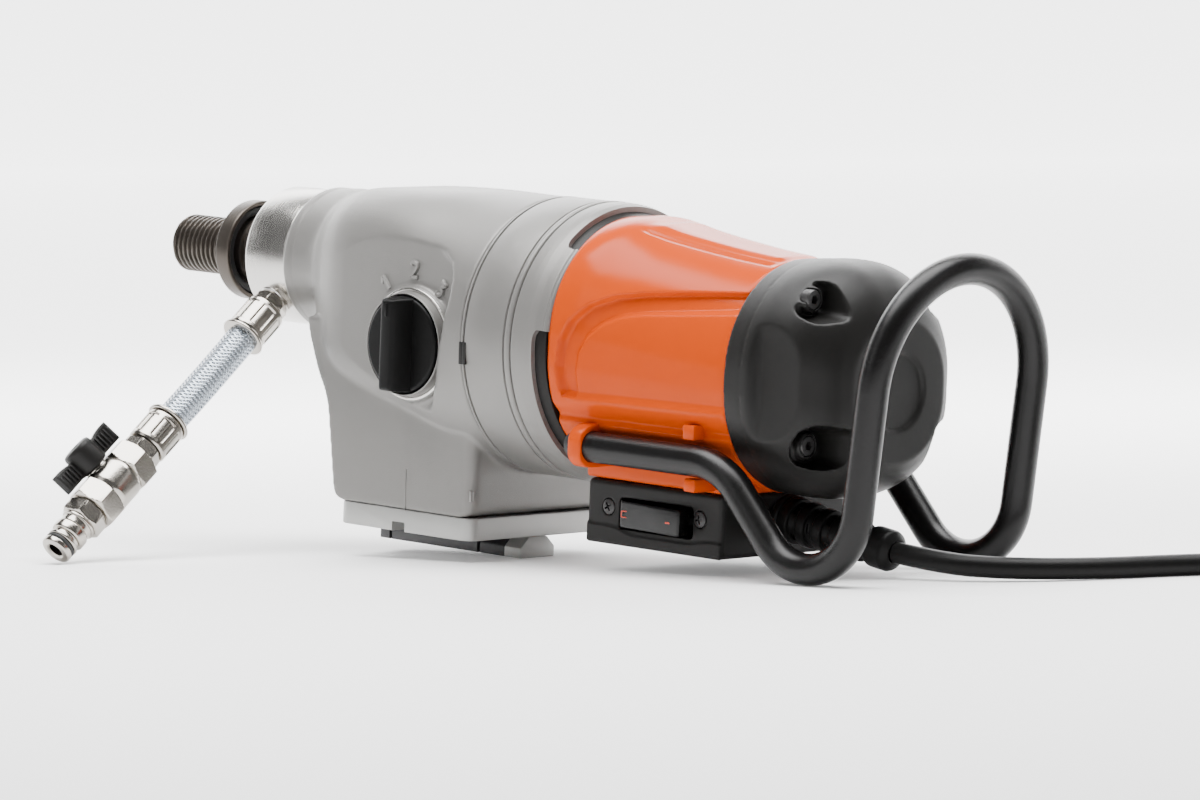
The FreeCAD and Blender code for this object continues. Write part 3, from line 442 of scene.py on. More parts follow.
cable_exit = TOOL @ (BOOT_START + BOOT_AXIS * 77)
route = [cable_exit]
route += [Vector(p) for p in (
    (0.259, 0.0057, 0.0086), (0.284, 0.0172, 0.0068), (0.304, 0.038, 0.006), (0.319, 0.065, 0.0055),
    (0.332, 0.096, 0.0055), (0.352, 0.127, 0.0055), (0.379, 0.153, 0.0055), (0.41, 0.174, 0.0055),
    (0.443, 0.19, 0.0055))]
COIL_R, COIL_TURNS, POINTS_PER_TURN = 0.093, 8.32, 24
run = (route[-1] - route[-2]).normalized()
coil_at = route[-1] + Vector((run.y, -run.x, 0)) * COIL_R
start_angle = atan2(route[-1].y - coil_at.y, route[-1].x - coil_at.x)
steps = round(COIL_TURNS * POINTS_PER_TURN)
sweep = start_angle + 2 * pi * int(COIL_TURNS)
for k in range(1, steps + 1):
    t = k / steps
    inward = min(t, 1 - t) * COIL_TURNS
    rise = ease((t - 0.5) * COIL_TURNS * 2.2 + 0.5)
    angle = start_angle - sweep * t
    r = COIL_R - 2 * CABLE_R * inward
    route.append(coil_at + Vector((r * cos(angle), r * sin(angle), 0)))
    route[-1].z = CABLE_R + 2 * CABLE_R * rise
tail = route[-1].copy()
PLUG_REACH = 0.068
route += [tail - Vector((0, reach, 0)) for reach in (0.02, 0.045, PLUG_REACH)]
cable = spline_object("mains_cable", route, CABLE_R)
dress(cable, "cable_rubber", hide=("cable_tube", "cable_coil"))

# ---- plug at the cable's end
plug_at = basis(Vector((tail.x, tail.y - PLUG_REACH, 0.019)) * 1000, (0, -1, 0), (0, 0, 1))
bm = bmesh.new()
neck = [(-9, 6.6), (-8, 8)]
for i in range(5):
    x = -7 + i * 5.4
    r = 8.3 + i * 1.15
    neck += [(x, r + 0.9), (x + 3, r + 1.3), (x + 3.3, r + 0.1), (x + 5, r + 0.4)]
neck += [(24, 15.2), (26, 18.3), (28.5, 19), (43, 19), (45.2, 18.2), (46, 16.8), (46.3, 4)]
lathe(bm, soft(neck, 0.7), plug_at, 64)
GRIP_RIBS = 14
outline = block_line(1.1, 17.6, 19.4, 0.5)
for k in range(GRIP_RIBS):
    grip = plug_at @ Matrix.Rotation(2 * pi * k / GRIP_RIBS, 4, "X")
    prism(bm, outline, grip @ move(30, 0, 0), 11.5, 0.5)
plug = put("mains_plug_body", bm, "cable_rubber", hide=("mains_plug",), frame_mm=MM, angle=40)
bm = bmesh.new()
pin = [(44, 2.4), (47.5, 2.4), (48, 2), (62.5, 2), (64.2, 1.7), (65, 0.9)]
for side in (-9.5, 9.5):
    lathe(bm, soft(pin, 0.3), plug_at @ move(0, side, 0), 24)
pins = put("mains_plug_pins", bm, "nickel", frame_mm=MM)

# ---- water hose with its braid
HOSE = basis((98.5, 0, 0), HOSE_AXIS, HOSE_SIDE)
hose_line = [(50.2, 0), (82, -0.9), (117, -0.9), (148.8, 0)]
hose_points = [TOOL @ (HOSE @ Vector((r, 0, side))) for r, side in hose_line]
hose = spline_object("water_hose_tube", hose_points, 0.008, 8)
dress(hose, "braided_hose", hide=("water_hose",))


def hose_sag(x):
    """Sag of the hose's centre line."""
    t = (x - 50.2) / 98.6
    return -0.9 * sin(pi * max(0, min(1, t))) * 0.83


bm = bmesh.new()
WIRES, WIRE_POINTS, WIRE_LAY = 12, 92, 30
BRAID_START, BRAID_END, BRAID_R = 62, 137.5, 8.32
WIRE = ((-1.35, -0.1), (-0.5, 0.14), (0.5, 0.14), (1.35, -0.1), (0.9, -0.4), (-0.9, -0.4))
for way in (1, -1):
    for k in range(WIRES):
        loops = []
        for i in range(WIRE_POINTS):
            x = BRAID_START + (BRAID_END - BRAID_START) * i / (WIRE_POINTS - 1)
            wound = (x - BRAID_START) / WIRE_LAY
            weave = 0.24 * sin(2 * pi * wound * WIRES * 0.5 + k * pi) * way
            loop = []
            for u, v in WIRE:
                a = 2 * pi * (k / WIRES + way * wound) + u / 8
                r = BRAID_R + weave + v
                loop.append(HOSE @ Vector((x, r * sin(a), r * cos(a) + hose_sag(x))))
            loops.append(loop)
        rings(bm, loops)
LOOK["hose_wire"] = surface("hose_wire", (0.4, 0.45, 0.51), 0.26, 0.85, 0.15, 3000, 0.08, coat=0.5)
put("water_hose_braid", bm, "hose_wire", slot="braided_hose", angle=60)


def from_flat(a):
    """Angle from the middle of the nearest of six flats."""
    return (a + pi / 6) % (pi / 3) - pi / 6


def hexbar(bm, at, x0, x1, flats, turn=0, shrink=0.96):
    """Hexagon bar with the turned chamfer of a nut at both ends."""
    corner = flats / sqrt(3)
    low = flats / 2 * shrink
    depth = (corner - low) * 0.62
    slope = [(depth * t, low + (corner - low) * t) for t in (0, 0.25, 0.5, 0.75, 1)]
    stations = [(x0 + x, r) for x, r in slope] + [(x1 - x, r) for x, r in reversed(slope)]

    def shape(x, r, a):
        return min(r, flats / 2 / cos(from_flat(a - turn)), corner - 0.12)

    lathe(bm, stations, at, 96, shape=shape)


def pressed(x0, x1, depth):
    """Six pressed rectangular flats round a ferrule."""
    def shape(x, r, a):
        local = from_flat(a)
        inside = ease((x - x0) / 0.7) * ease((x1 - x) / 0.7) * ease((0.4 - abs(local)) / 0.06)
        return r - inside * (depth + (r - r * cos(local)) * 0.55)
    return shape


bm = bmesh.new()
base = [(28, 7), (36.4, 7), (36.4, 8.4), (37.2, 8.8), (37.5, 8.2)]
lathe(bm, soft(base, 0.3), HOSE, 64)
hexbar(bm, HOSE, 37.3, 43.4, 17)
lathe(bm, soft([(43.2, 7.3), (43.8, 8.2), (44.2, 8.2), (44.4, 7.2), (50, 7.2)], 0.2), HOSE, 64)
put("inlet_nipple", bm, "nickel", hide=("inlet_fitting",))
for name, node, x0, x1, collar in (("hose_ferrule_upper", "upper_ferrule", 43.8, 64.4, 1),
                                   ("hose_ferrule_lower", "lower_ferrule", 134.6, 154, -1)):
    bm = bmesh.new()
    profile = [(x0, 10.2), (x0 + 0.7, 11)]
    profile += [(x0 + 1.2 + (x1 - x0 - 2.4) * i / 44, 11.2) for i in range(45)]
    profile += [(x1 - 0.7, 11), (x1, 10.6)]
    lathe(bm, profile, HOSE, 192, shape=pressed(x0 + 3, x1 - 3.2, 0.75))
    c0, c1 = (x1, x1 + 2.2) if collar > 0 else (x0 - 2.3, x0)
    ring = [(c0 + 0.1, 9.2), (c0, 11.4), (c0 + 0.4, 12.4), (c1 - 0.5, 12.5), (c1, 11.6),
            (c1 + 0.3 * collar, 9)]
    lathe(bm, soft(ring, 0.5), HOSE, 96)
    put(name, bm, "nickel", hide=(node,), angle=24)
bm = bmesh.new()
hexbar(bm, HOSE, 154.2, 161.4, 19)
lathe(bm, soft([(152.5, 8.6), (154.4, 8.6)], 0.1), HOSE, 64)
hexbar(bm, HOSE, 203.6, 212.9, 21)
lathe(bm, soft([(212.6, 9.6), (213.4, 9.9), (214.4, 9.9), (214.7, 8.8), (218.3, 8.8)], 0.3), HOSE, 72)
put("valve_union_nuts", bm, "nickel", hide=("valve_unions",))

# ---- ball valve, its butterfly handle and the hose coupling
bm = bmesh.new()
hexbar(bm, HOSE, 161.6, 174.5, 25, pi / 6)
hexbar(bm, HOSE, 190.6, 203.4, 25, pi / 6)
waist = [(173, 11.6), (175.4, 12.6), (176.6, 12.9), (188.4, 12.9), (189.6, 12.6), (192, 11.6)]
lathe(bm, soft(waist, 0.6), HOSE, 96)
VALVE_AXIS = HOSE_SIDE * cos(pi / 6) - Vector((1, 0, 0)) * sin(pi / 6)
STEM = basis(HOSE @ Vector((182.5, 0, 0)), VALVE_AXIS, HOSE_AXIS)
lathe(bm, soft([(9, 7), (11.9, 7), (12.3, 6.6), (13.1, 6.5), (13.1, 4.2)], 0.25), STEM, 64)
put("valve_casing", bm, "nickel", hide=("valve_body",))
bm = bmesh.new()
lathe(bm, soft([(13.4, 8.2), (14.2, 9), (26, 9), (27.6, 8.4), (28.3, 7), (28.3, 3.4), (27.2, 3.2),
                (27.2, 0.01)], 0.5), STEM, 72)
for way in (1, -1):
    loops = []
    for i in range(15):
        t = i / 14
        thick = 3 - 0.7 * sin(pi * min(1, t * 1.1)) + 0.5 * ease((t - 0.75) * 4)
        thick *= sqrt(max(0.02, 1 - max(0, (t - 0.86) / 0.14) ** 2))
        tall = 24.2 + 1.7 * ease(t * 1.4)
        outline = block_line(thick, 14, tall, 1.3, 3)
        loops.append([STEM @ Vector((x, y, way * (5.5 + 17 * t))) for y, x in outline])
    rings(bm, loops)
    outline = block_line(0.45, -0.5, 0.5, 0.3)
    for k in range(5):
        for face in (1, -1):
            rib = move(15.4, face * 2.7, way * (10.5 + 2.4 * k))
            prism(bm, outline, STEM @ rib, 8.2, 0.3)
put("valve_butterfly", bm, "black_plastic", "water_valve", hide=("valve_handle",), angle=40,
    slot=slot_of["valve_handle"])
bm = bmesh.new()
nip = [(214.5, 7), (218.6, 9.2), (219.2, 9.6), (223.4, 9.6), (224.1, 9), (224.5, 7.6), (226.2, 7.6),
       (226.5, 8.4), (226.9, 8.9), (228, 8.9), (228.4, 8.5), (228.6, 7), (230.7, 7), (230.9, 8.3),
       (231.3, 8.7), (233.6, 8.6), (234.3, 7.9), (234.4, 5.2), (233.4, 4.1)]
lathe(bm, soft(nip, 0.3) + [(233, 4.6), (214.9, 4.6)], HOSE, closed=True)
put("coupling_nipple", bm, "nickel", hide=("coupler_nipple",))
bm = bmesh.new()
round_section = [(229.65 + cos(a * pi / 8), 7.75 + 0.95 * sin(a * pi / 8))
                 for a in range(16)]
lathe(bm, round_section, HOSE, 80, closed=True)
put("coupling_o_ring", bm, "seal_rubber", hide=("coupler_ring",))


# ---- gear housing: one casting, cut and remeshed for its soft fillets
BARREL = [
    (114.4, 37.8, 37.8, -37.8, 37.7), (120, 38.4, 38.4, -38.6, 38.3), (135, 39.2, 39.2, -40, 39),
    (141, 40.5, 38.2, -44, 37), (150, 46, 38.6, -57, 34), (158, 51, 40.8, -64, 34),
    (172, 56, 43.2, -70, 35), (200, 59, 44.4, -76, 36), (225, 63, 45.2, -84, 46),
    (243, 67, 45.8, -92, 58), (258, 70, 46, -97, 66), (284.2, 72.4, 46, -98.9, 72.3)]


def loft(rows, stations, count=160, finish=None):
    """Rounded-rectangle sections at X stations; finish may move each point."""
    loops = []
    for x in stations:
        half, top, bottom, r = smooth_rows(rows, x)
        r = min(r, half - 0.05, (top - bottom) / 2 - 0.05)
        loop = [Vector((x, y, z)) for y, z in superoval(half, top, bottom, r, count)]
        loops.append([finish(p) for p in loop] if finish else loop)
    return skinned(loops)


def spread(x0, x1, step):
    """Even values between two ends."""
    n = max(1, round((x1 - x0) / step))
    return [x0 + (x1 - x0) * i / n for i in range(n + 1)]


def slab(outline, y0, y1):
    """Prism through the tool: an outline in X-Z between two Y values."""
    return skinned([[Vector((x, y, z)) for x, z in outline] for y in (y0, y1)])


def rod(x0, x1, r, at=(0, 0), seg=64):
    """Round bar along X, centred on a (y, z) point."""
    return round_solid([(x0, r), (x1, r)], move(0, *at), seg)


def crosswise(r, y0, y1, x, z, seg=72):
    """Round bar along Y."""
    return round_solid([(0, r), (y1 - y0, r)], basis((x, y0, z), (0, 1, 0)), seg)


def cuboid(lo, hi, bevel=0):
    """A scratch box between two corners."""
    bm = bmesh.new()
    box_mesh(bm, lo, hi, bevel)
    return temp(bm)


KNOB_X, KNOB_Z = 236, -33
FLAT_Y = 57.2           # half the width across the flat side faces
BOX_END = 275.3         # rear face of the gear box's foot
RING_Z = -26.5          # axis of the rear half of the gear housing
MOTOR_Z = -33.3
body = loft(BARREL, spread(114.4, 284.2, 4), 96)
lower = soft([(149, -26), (150.5, -34), (158, -54), (166, -68), (169.5, -92), (173.6, -121.1),
              (BOX_END, -121.1), (BOX_END, -26)], 7)
ends = ((-52, 6), (-51.2, 3.2), (-49, 1), (-46, 0), (46, 0), (49, 1), (51.2, 3.2), (52, 6))
join(body, skinned([[Vector((min(x, BOX_END - inset), y, z)) for x, z in lower] for y, inset in ends]))
# the flat face round the gear knob, sunk below the shoulder behind it
face = soft([(120, 60), (176, 40), (200, 27), (226, 25.5), (252, 20.5), (268.5, 9), (271.5, -6),
             (268, -26), (262, -50), (253, -64), (238, -74), (170, -98), (120, -98)], 14, True, 6)
for y0, y1 in ((-100, -FLAT_Y), (FLAT_Y, 100)):
    cut(body, slab(face, y0, y1))
# a long shallow hollow between the lower edge of the barrel and the box
for y0, y1 in ((-90, -53.2), (53.2, 90)):
    cut(body, cuboid((262, y0, -140), (300, y1, -99.5)))
join(body, crosswise(30.2, -61, -50, KNOB_X, KNOB_Z, 96))
cut(body, crosswise(27, -80, -59.6, KNOB_X, KNOB_Z, 96))
cavity = [rod(153, 224, 38.5), rod(170, 224, 26, (0, -48)),
          cuboid((178, -46, -113.1), (269.3, 46, -30)), rod(100, 147, 31), rod(146, 154, 22),
          rod(162, 171, 10, (0, -48)), crosswise(8.05, -64, -40, KNOB_X, KNOB_Z, 32)]
for hole in cavity:
    cut(body, hole)
rear_room = rod(208, 300, 64, (0, RING_Z), 96)
room = join(cuboid((207, -54, -48), (301, 54, 60)), cuboid((207, -45, -100), (301, 45, -47)))
combine(rear_room, room, "INTERSECT")
cut(body, rear_room)
body = cast(body, 1.1, 9)
deliver(body, "gear_housing_casting", "grey_housing", hide=("gear_housing_front",), angle=0)

lip = [(114.5, 31.3), (114.5, 37.3), (115, 38.2), (116.4, 38.7), (119.5, 38.75), (122.5, 38.4),
       (122.5, 31.3)]
turned("collar_lip", lip, Matrix.Identity(4), "grey_housing", 192, 0.5)

# painted highlight: a bright metal ring on the edge of the knob's boss stands in for the light caught by its
# fillet; and the raised numbers
KNOB = basis((KNOB_X, -61, KNOB_Z), (0, -1, 0), (0, 0, 1))
rim = [(-1.8, 27.4), (0.15, 27.4), (0.42, 28.3), (0.15, 29.3), (-1.8, 29.9)]
turned("knob_boss_highlight_ring", rim, KNOB, "turned_aluminium", 120, slot="grey_housing")
collar = [(-1, 25.9), (4.4, 25.9), (5.2, 26.3), (5, 26.9), (0.6, 27.5), (-1, 27.8)]
turned("knob_boss_collar", collar, KNOB, "grey_housing", 120, 0.4)
DIGITS = (
    (213.6, -3, 0.62, [(-1.9, 0.9), (0.3, 3), (0.3, -3)]),
    (234.5, 5.6, 0, [(-1.8, 1.7), (-1, 2.8), (0.4, 3), (1.6, 2.3), (1.7, 1.1), (0.6, -0.5),
                       (-1.8, -3), (1.9, -3)]),
    (254.5, -3, -0.62, [(-1.6, 2.9), (1.6, 2.9), (-0.1, 0.7), (1.3, 0.2), (1.8, -1.2), (1, -2.6),
                          (-0.5, -3), (-1.8, -2.3)]))


def stroke(bm, points, at, width, height):
    """A raised line with sloping sides along points in the Y-Z plane of the matrix."""
    points = [Vector(p) for p in soft(points, 0.5)]
    last = len(points) - 1
    loops = []
    for i, p in enumerate(points):
        d = (points[min(last, i + 1)] - points[max(0, i - 1)]).normalized()
        n = Vector((-d.y, d.x))
        top = 0.9 * (0.55 if i in (0, last) else 1) + 0.1
        loop = []
        for s, h in ((-1, -0.6), (-1, 0.1), (-0.55, top), (0.55, top), (1, 0.1), (1, -0.6)):
            q = p + n * s * width / 2
            loop.append(at @ Vector((h * height, q.x, q.y)))
        loops.append(loop)
    rings(bm, loops)


def on_side(x, z, turn, scale, y=-FLAT_Y):
    """Matrix on the near side: its X points outwards, Y forwards to the rear, Z up."""
    m = Matrix(((0, 1, 0, x), (-1, 0, 0, y), (0, 0, 1, z), (0, 0, 0, 1)))
    return m @ Matrix.Rotation(turn, 4, "X") @ Matrix.Scale(scale, 4)


bm = bmesh.new()
for x, z, turn, line in DIGITS:
    stroke(bm, line, on_side(x, z, turn, 1.3), 2, 1.15)
put("dial_numbers", bm, "grey_housing", angle=25)

# ---- gear knob
bm = bmesh.new()
disc = [(0.3, 24.4), (0.9, 25.2), (4.6, 25.3), (5.8, 24.9), (6.35, 23.8), (6.4, 12), (6.4, 0.01)]
lathe(bm, soft([(0.3, 0.01)] + disc, 0.5), KNOB, 144)
outline = soft([(-7.4, -24.6), (7.4, -24.6), (7.9, -20), (7.9, 20), (7.4, 24.6), (-7.4, 24.6), (-7.9, 20),
                (-7.9, -20)], 1.6, True, 4)
taper = ((5.4, 1.06, 1), (7, 1, 0.995), (12, 0.82, 0.985), (15.6, 0.68, 0.97),
         (17, 0.58, 0.95), (17.7, 0.48, 0.925), (17.95, 0.34, 0.89))
rings(bm, [[KNOB @ Vector((x, y * wide, z * tall)) for y, z in outline] for x, wide, tall in taper])
lathe(bm, [(0, 9.6), (0.4, 9.6)], KNOB, 32)
LOOK["knob_black"] = surface("knob_black", (0.0018, 0.0018, 0.0018), 0.4, 0, 0.25, 2600, 0.05,
                             wear=0.02, shine=0.12)
prism(bm, block_line(0.8, 15, 22, 0.6, 3), KNOB @ move(17.7, 0, 0), 0.6, 0.2)
put("gear_knob_grip", bm, "knob_black", "gear_selector", hide=("gear_knob",), slot="black_plastic", angle=35)

# ---- middle housing and vent ring: turned rings with beads and openings
RING = move(0, 0, RING_Z)
middle = [(284.5, 64.2), (284.5, 71.5), (284.9, 72.5), (285.7, 72.9), (286.5, 72.9), (286.8, 71.2),
          (287.5, 71.2), (287.8, 72.8), (300, 72.75), (314.8, 72.7), (315.3, 71.2), (316, 71.2),
          (316.4, 72.9), (318.4, 73), (319.3, 72.6), (319.8, 71.5), (319.9, 64.2), (314, 64.1),
          (314, 21), (303, 21), (303, 64.1)]
turned("gear_housing_middle_ring", middle, RING, "grey_housing", 256, 0.35, 2,
       hide=("gear_housing_middle",), angle=28)
vent = [(320.2, 60.2), (320.2, 71.4), (320.7, 72.4), (321.6, 72.7), (327, 72.7), (331, 72.3), (335, 70.9),
        (338.4, 69.2), (339.6, 69.1), (340.6, 69.8), (341.8, 69.6), (342.6, 68.6), (342.6, 66.9),
        (341.6, 66.2), (341, 60.2)]
ring = round_solid(soft(vent, 0.6, True), RING, 256, True)


def air_slot(a0, a1, x0, x1, r0=58, r1=80):
    """A curved window through a ring, between two angles from the top."""
    loops = []
    n = max(8, round(abs(a1 - a0) / 2))
    for i in range(n + 1):
        a = radians(a0 + (a1 - a0) * i / n)
        end = min(i, n - i)
        front = x0 + (1.6 if end == 0 else 0.4 if end == 1 else 0)
        corners = ((front, r0), (front, r1), (x1, r1), (x1, r0))
        loops.append([RING @ Vector((x, -r * sin(a), r * cos(a))) for x, r in corners])
    return skinned(loops)


for a0, a1 in ((-43, 43), (82, 146), (214, 278)):
    cut(ring, air_slot(a0, a1, 334.2, 346))
deliver(ring, "vent_ring_cover", "grey_housing", hide=("vent_ring",), angle=28)
# painted shade: a black ring under the air slots stands in for the shadow inside the openings
shade = [(333.6, 60.3), (333.6, 68.6), (340.2, 66.8), (340.2, 60.3)]
turned("vent_painted_shade_ring", shade, RING, "black_plastic", 160, angle=28)
# painted shade: two small black blocks at the seam stand in for the shadowed notch there
bm = bmesh.new()
for x in (284.7, 287):
    box_mesh(bm, (x - 0.4, -73.15, -38.6), (x + 1.9, -71, -27), 0.25)
put("seam_notch_shade_blocks", bm, "black_plastic", angle=28)


# ---- motor housing: a fine skin with a pressed panel, lugs and tabs
MOTOR_BODY = [(340.9, 67, 40.3, -91, 60.5), (348, 66.6, 40.9, -91, 59.5), (357, 65.8, 40.4, -91, 58.5),
              (370, 64.2, 37.6, -91, 57.5), (386, 62.8, 34.6, -91, 56.5), (424, 61, 29.6, -91, 55.2),
              (457.7, 59.8, 26.6, -91, 55)]
PANEL = [(349.5, -46.5), (348, -34), (349.5, -21), (355, -10.5), (365, -1.8), (379, 3.6), (395, 6),
         (430, 8.9), (470, 11.5)]
ROUND = 560             # points round the motor skin
HANDLE_Y, HANDLE_Z = 60, -73.5
PANEL_IN = [(358.8, -45), (358, -36), (359.4, -26), (364.5, -17.5), (373, -10.6), (385, -5.6),
            (398, -3.4), (430, -0.6), (470, 3)]


def curve_side(points, x, z):
    """Signed distance to a polyline in X-Z; positive on its inner, lower-right side."""
    best, sign = inf, 1
    p = Vector((x, z))
    for a, b in zip(points, points[1:]):
        a, b = Vector(a), Vector(b)
        d = b - a
        t = max(0, min(1, (p - a).dot(d) / d.length_squared))
        q = a + d * t
        gap = (p - q).length
        if gap < best:
            best = gap
            sign = 1 if d.x * (p.y - a.y) - d.y * (p.x - a.x) < 0 else -1
    return best * sign


def motor_finish(p):
    """Press the U-shaped channel and the bottom shelf into both flanks; shape the top ledge."""
    x, y, z = p
    side = 1 if y > 0 else -1
    if abs(y) > 30:
        bottom = -48.2 + 0.012 * (x - 350)
        outer = curve_side(PANEL, x, z)
        inner = curve_side(PANEL_IN, x, z)
        above = z - bottom
        inside = ease(outer / 3 + 0.5) * ease(above / 4 + 0.5)
        raised = ease(inner / 3.4 + 0.5)
        drop = inside * (1 - raised * 0.62) * 4.6
        drop += 3 * ease((-52 - z) / 8) * ease((z + 64) / 6)
        lip = ease((3.4 - abs(above + 2.6)) / 3.4) * ease((x - 352) / 6)
        y = side * (abs(y) - drop + lip * 0.8)
    if z > 10 and 346 < x < 456:
        ledge = ease((x - 362) / 10) * ease((455 - x) / 6)
        line = 24 - 0.03 * (x - 350)
        t = abs(abs(y) - line)
        z += -1.1 * ledge * ease((3.2 - t) / 3.2) + 1.2 * ledge * ease((line - 3 - abs(y)) / 6)
    return Vector((x, y, z))


stations = spread(340.9, 345, 0.8) + spread(346, 372, 0.7) + spread(373, 457.7, 1.3)
loops = []
for x in stations:
    half, top, bottom, r = smooth_rows(MOTOR_BODY, x)
    r = min(r, half - 0.05, (top - bottom) / 2 - 0.05)
    lead = 1.4 * (1 - ease((x - 340.9) / 2.2))
    tail_in = 0.9 * (1 - ease((457.7 - x) / 1.4))
    k = lead + tail_in
    pts = superoval(half - k, top - k, bottom + k, r - k * 0.5, ROUND)
    loops.append([motor_finish(Vector((x, y, z))) for y, z in pts])
bore = [53.9 * Vector((sin(a), cos(a))) for a in [2 * pi * i / ROUND for i in range(ROUND)]]
loops += [[Vector((x, p.x, MOTOR_Z + p.y)) for p in bore] for x in (457.7, 341)]
shell = skinned(loops, True)
bm = bmesh.new()
box_mesh(bm, (352, -45.7, -90.8), (452, 45.7, -58), 2, 3)
skirt = cut(temp(bm), rod(330, 470, 54.2, (0, MOTOR_Z), 96))
join(shell, skirt)
for side in (-1, 1):
    bm = bmesh.new()
    at = move(360.6, side * HANDLE_Y, HANDLE_Z)
    lug = soft([(-side * 17, -10.6), (side * 4, -10.8), (side * 9.6, -6), (side * 9.6, 6), (side * 4, 10.8),
                (-side * 17, 13.5)], 4, True, 5)
    prism(bm, lug, at, 8.8, 1.1, 3)
    join(shell, temp(bm))
    for x, z0, z1 in ((431.5, -63.6, -56), (433.5, -89.6, -83)):
        y0, y1 = sorted((side * 45, side * 60.5))
        join(shell, cuboid((x, y0, z0), (x + 8, y1, z1), 0.9))
    cut(shell, rod(350, 474, 8.15, (side * HANDLE_Y, HANDLE_Z), 48))
deliver(shell, "motor_housing_shell", "orange_plastic", hide=("motor_housing",), angle=38)

# ---- end cap: sculpted cover with four screw scoops
CAP_BODY = [(457.9, 60.4, 27.8, -91, 56), (468, 60.7, 28.6, -91, 56), (480, 60.6, 29.4, -91, 55),
            (492, 58.4, 28.6, -90, 52), (502, 54.2, 25, -86.6, 48), (511, 47.6, 17.6, -81.6, 42),
            (517, 41.4, 9.6, -76, 37), (520.9, 34.5, 1.8, -69.6, 32)]
CAP_START, CAP_END = CAP_BODY[0][0], CAP_BODY[-1][0]
CAP_SCREWS = ((-39, 11.5), (39, 11.5), (-39, -61.5), (39, -61.5))


def cap_finish(p):
    """Flatten both flanks of the cap behind a curved edge."""
    x, y, z = p
    if abs(y) > 30 and -72 < z < 24:
        side = 1 if y > 0 else -1
        edge = 471.5 + 2.2 * sin((z + 70) / 92 * pi)
        flat_in = ease((x - edge) / 5) * ease((z + 72) / 9) * ease((24 - z) / 9)
        target = 55.6 - 0.06 * (x - 470)
        if abs(y) > target:
            y = side * (abs(y) + (target - abs(y)) * flat_in)
    return Vector((x, y, z))


cap = loft(CAP_BODY, spread(CAP_START, CAP_END, 1.5), 260, cap_finish)
inside = loft([(456, 53, 20, -86, 50), (487, 52, 20, -84, 50)], [456, 487], 96)
cut(cap, inside)
hollow = soft([(-11.5, -7.5), (4, -11), (11, -8), (12.5, 2), (9, 10), (-3, 11.5), (-12, 8)], 4, True, 4)
for y, z in CAP_SCREWS:
    out = 1 if y > 0 else -1
    lift = 1 if z > 0 else -1
    cut(cap, skinned([[Vector((492.7 + deep, y + out * (q * grow + deep * 0.2), z + lift * w * grow))
                       for q, w in hollow]
                      for deep, grow in ((0, 0.8), (3, 0.92), (9, 1.02), (16, 1.1), (34, 1.35))]))
    boss = round_solid([(484, 7.4), (496.5, 7), (497.3, 6.2)], move(0, y, z), 48)
    skin = loft(CAP_BODY, spread(CAP_START, CAP_END, 3), 160, cap_finish)
    join(cap, combine(boss, skin, "INTERSECT"))
    cut(cap, rod(492.2, 530, 5.3, (y, z), 40))
    cut(cap, rod(450, 500, 3.05, (y, z), 24))
cut(cap, rod(519.3, 530, 19.5, (0, -34), 72))
groove = loft([(x, 63, 31.5, -94, 57) for x in (468.2, 469.6)], [468.2, 469.6], 200)
core = loft([(467, 60, 28.2, -90.4, 55.6), (471, 60, 28.8, -90.4, 55.6)], [467, 471], 200)
cut(groove, core)
cut(cap, groove)
for x, r in ((482, 14), (492, 10)):
    cut(cap, rod(469, x, r, (0, MOTOR_Z)))
cap = cast(cap, 0.85, 4)
deliver(cap, "end_cap_cover", "black_plastic", hide=("end_cap",), angle=0)


def socket(x, r, a):
    """Hexagon socket inside a round screw head."""
    return min(r, 2.15 / cos(from_flat(a))) if 0.1 < r <= 3.2 else r


bm = bmesh.new()
head = [(459, 2.95), (492.3, 2.95), (492.4, 4.9), (496.6, 5), (497.3, 4.5), (497.4, 2.6), (497.2, 2.5),
        (494.2, 2.45), (494, 0.01)]
for y, z in CAP_SCREWS:
    lathe(bm, head, move(0, y, z), 48, shape=socket)
put("end_cap_socket_screws", bm, "black_screws", hide=("end_cap_screws",))

# ---- switch box, its screws and rocker
panel = cuboid((354.2, -46.3, -123.9), (448, 46.3, -91.1), 2.2)
cut(panel, cuboid((358, -32.5, -120), (443, 42.5, -90)))
bm = bmesh.new()
box_mesh(bm, (376.9, -60, -115.2), (427.9, -30.6, -99.3), 1.6, 3)
cut(panel, temp(bm))
wave = [(356.5, -113.6)]
for i in range(25):
    x = 357.5 + (446.5 - 357.5) * i / 24
    wave.append((x, -114.8 - 3.4 * ease((x - 372) / 16) + 2.2 * ease((x - 424) / 16)))
wave += [(447.5, -116), (447.5, -130), (354, -130), (354, -114)]
lip = slab(wave, -49, -45.1)
combine(lip, cuboid((354.2, -46.9, -123.9), (448, -44, -90), 1), "INTERSECT")
join(panel, lip)
PANEL_SCREWS = ((369.3, -104.8, 0.5), (432.6, -104.8, 0.2))
for x, z, turn in PANEL_SCREWS:
    cut(panel, crosswise(4.35, -50, -43.2, x, z, 40))
cut(panel, rod(440, 452, 8, (0, -104), 40))
panel = cast(panel, 0.7, 3)
deliver(panel, "switch_box_cover", "black_plastic", hide=("switch_box",), angle=0)
bm = bmesh.new()
screw = [(-3.1, 0.01), (-3.1, 3.9), (-0.3, 4), (0, 3.7), (0.25, 2.9), (0.4, 1.6), (0.42, 0.01)]
for x, z, turn in PANEL_SCREWS:
    lathe(bm, screw, basis((x, -46.5, z), (0, -1, 0), (0, 0, 1)), 48)
screws = temp(bm)
corner = [(-0.5, -2.4), (0.5, -2.4), (0.5, -0.5), (2.4, -0.5), (2.4, 0.5), (0.5, 0.5)]
cross = corner + [(-y, -z) for y, z in corner]
for x, z, turn in PANEL_SCREWS:
    bm = bmesh.new()
    prism(bm, cross, basis((x, -45.3, z), (0, -1, 0), (0, 0, 1)) @ Matrix.Rotation(turn, 4, "X"), 3)
    cut(screws, temp(bm))
deliver(screws, "panel_cross_screws", "black_screws", hide=("panel_screws",))
bm = bmesh.new()
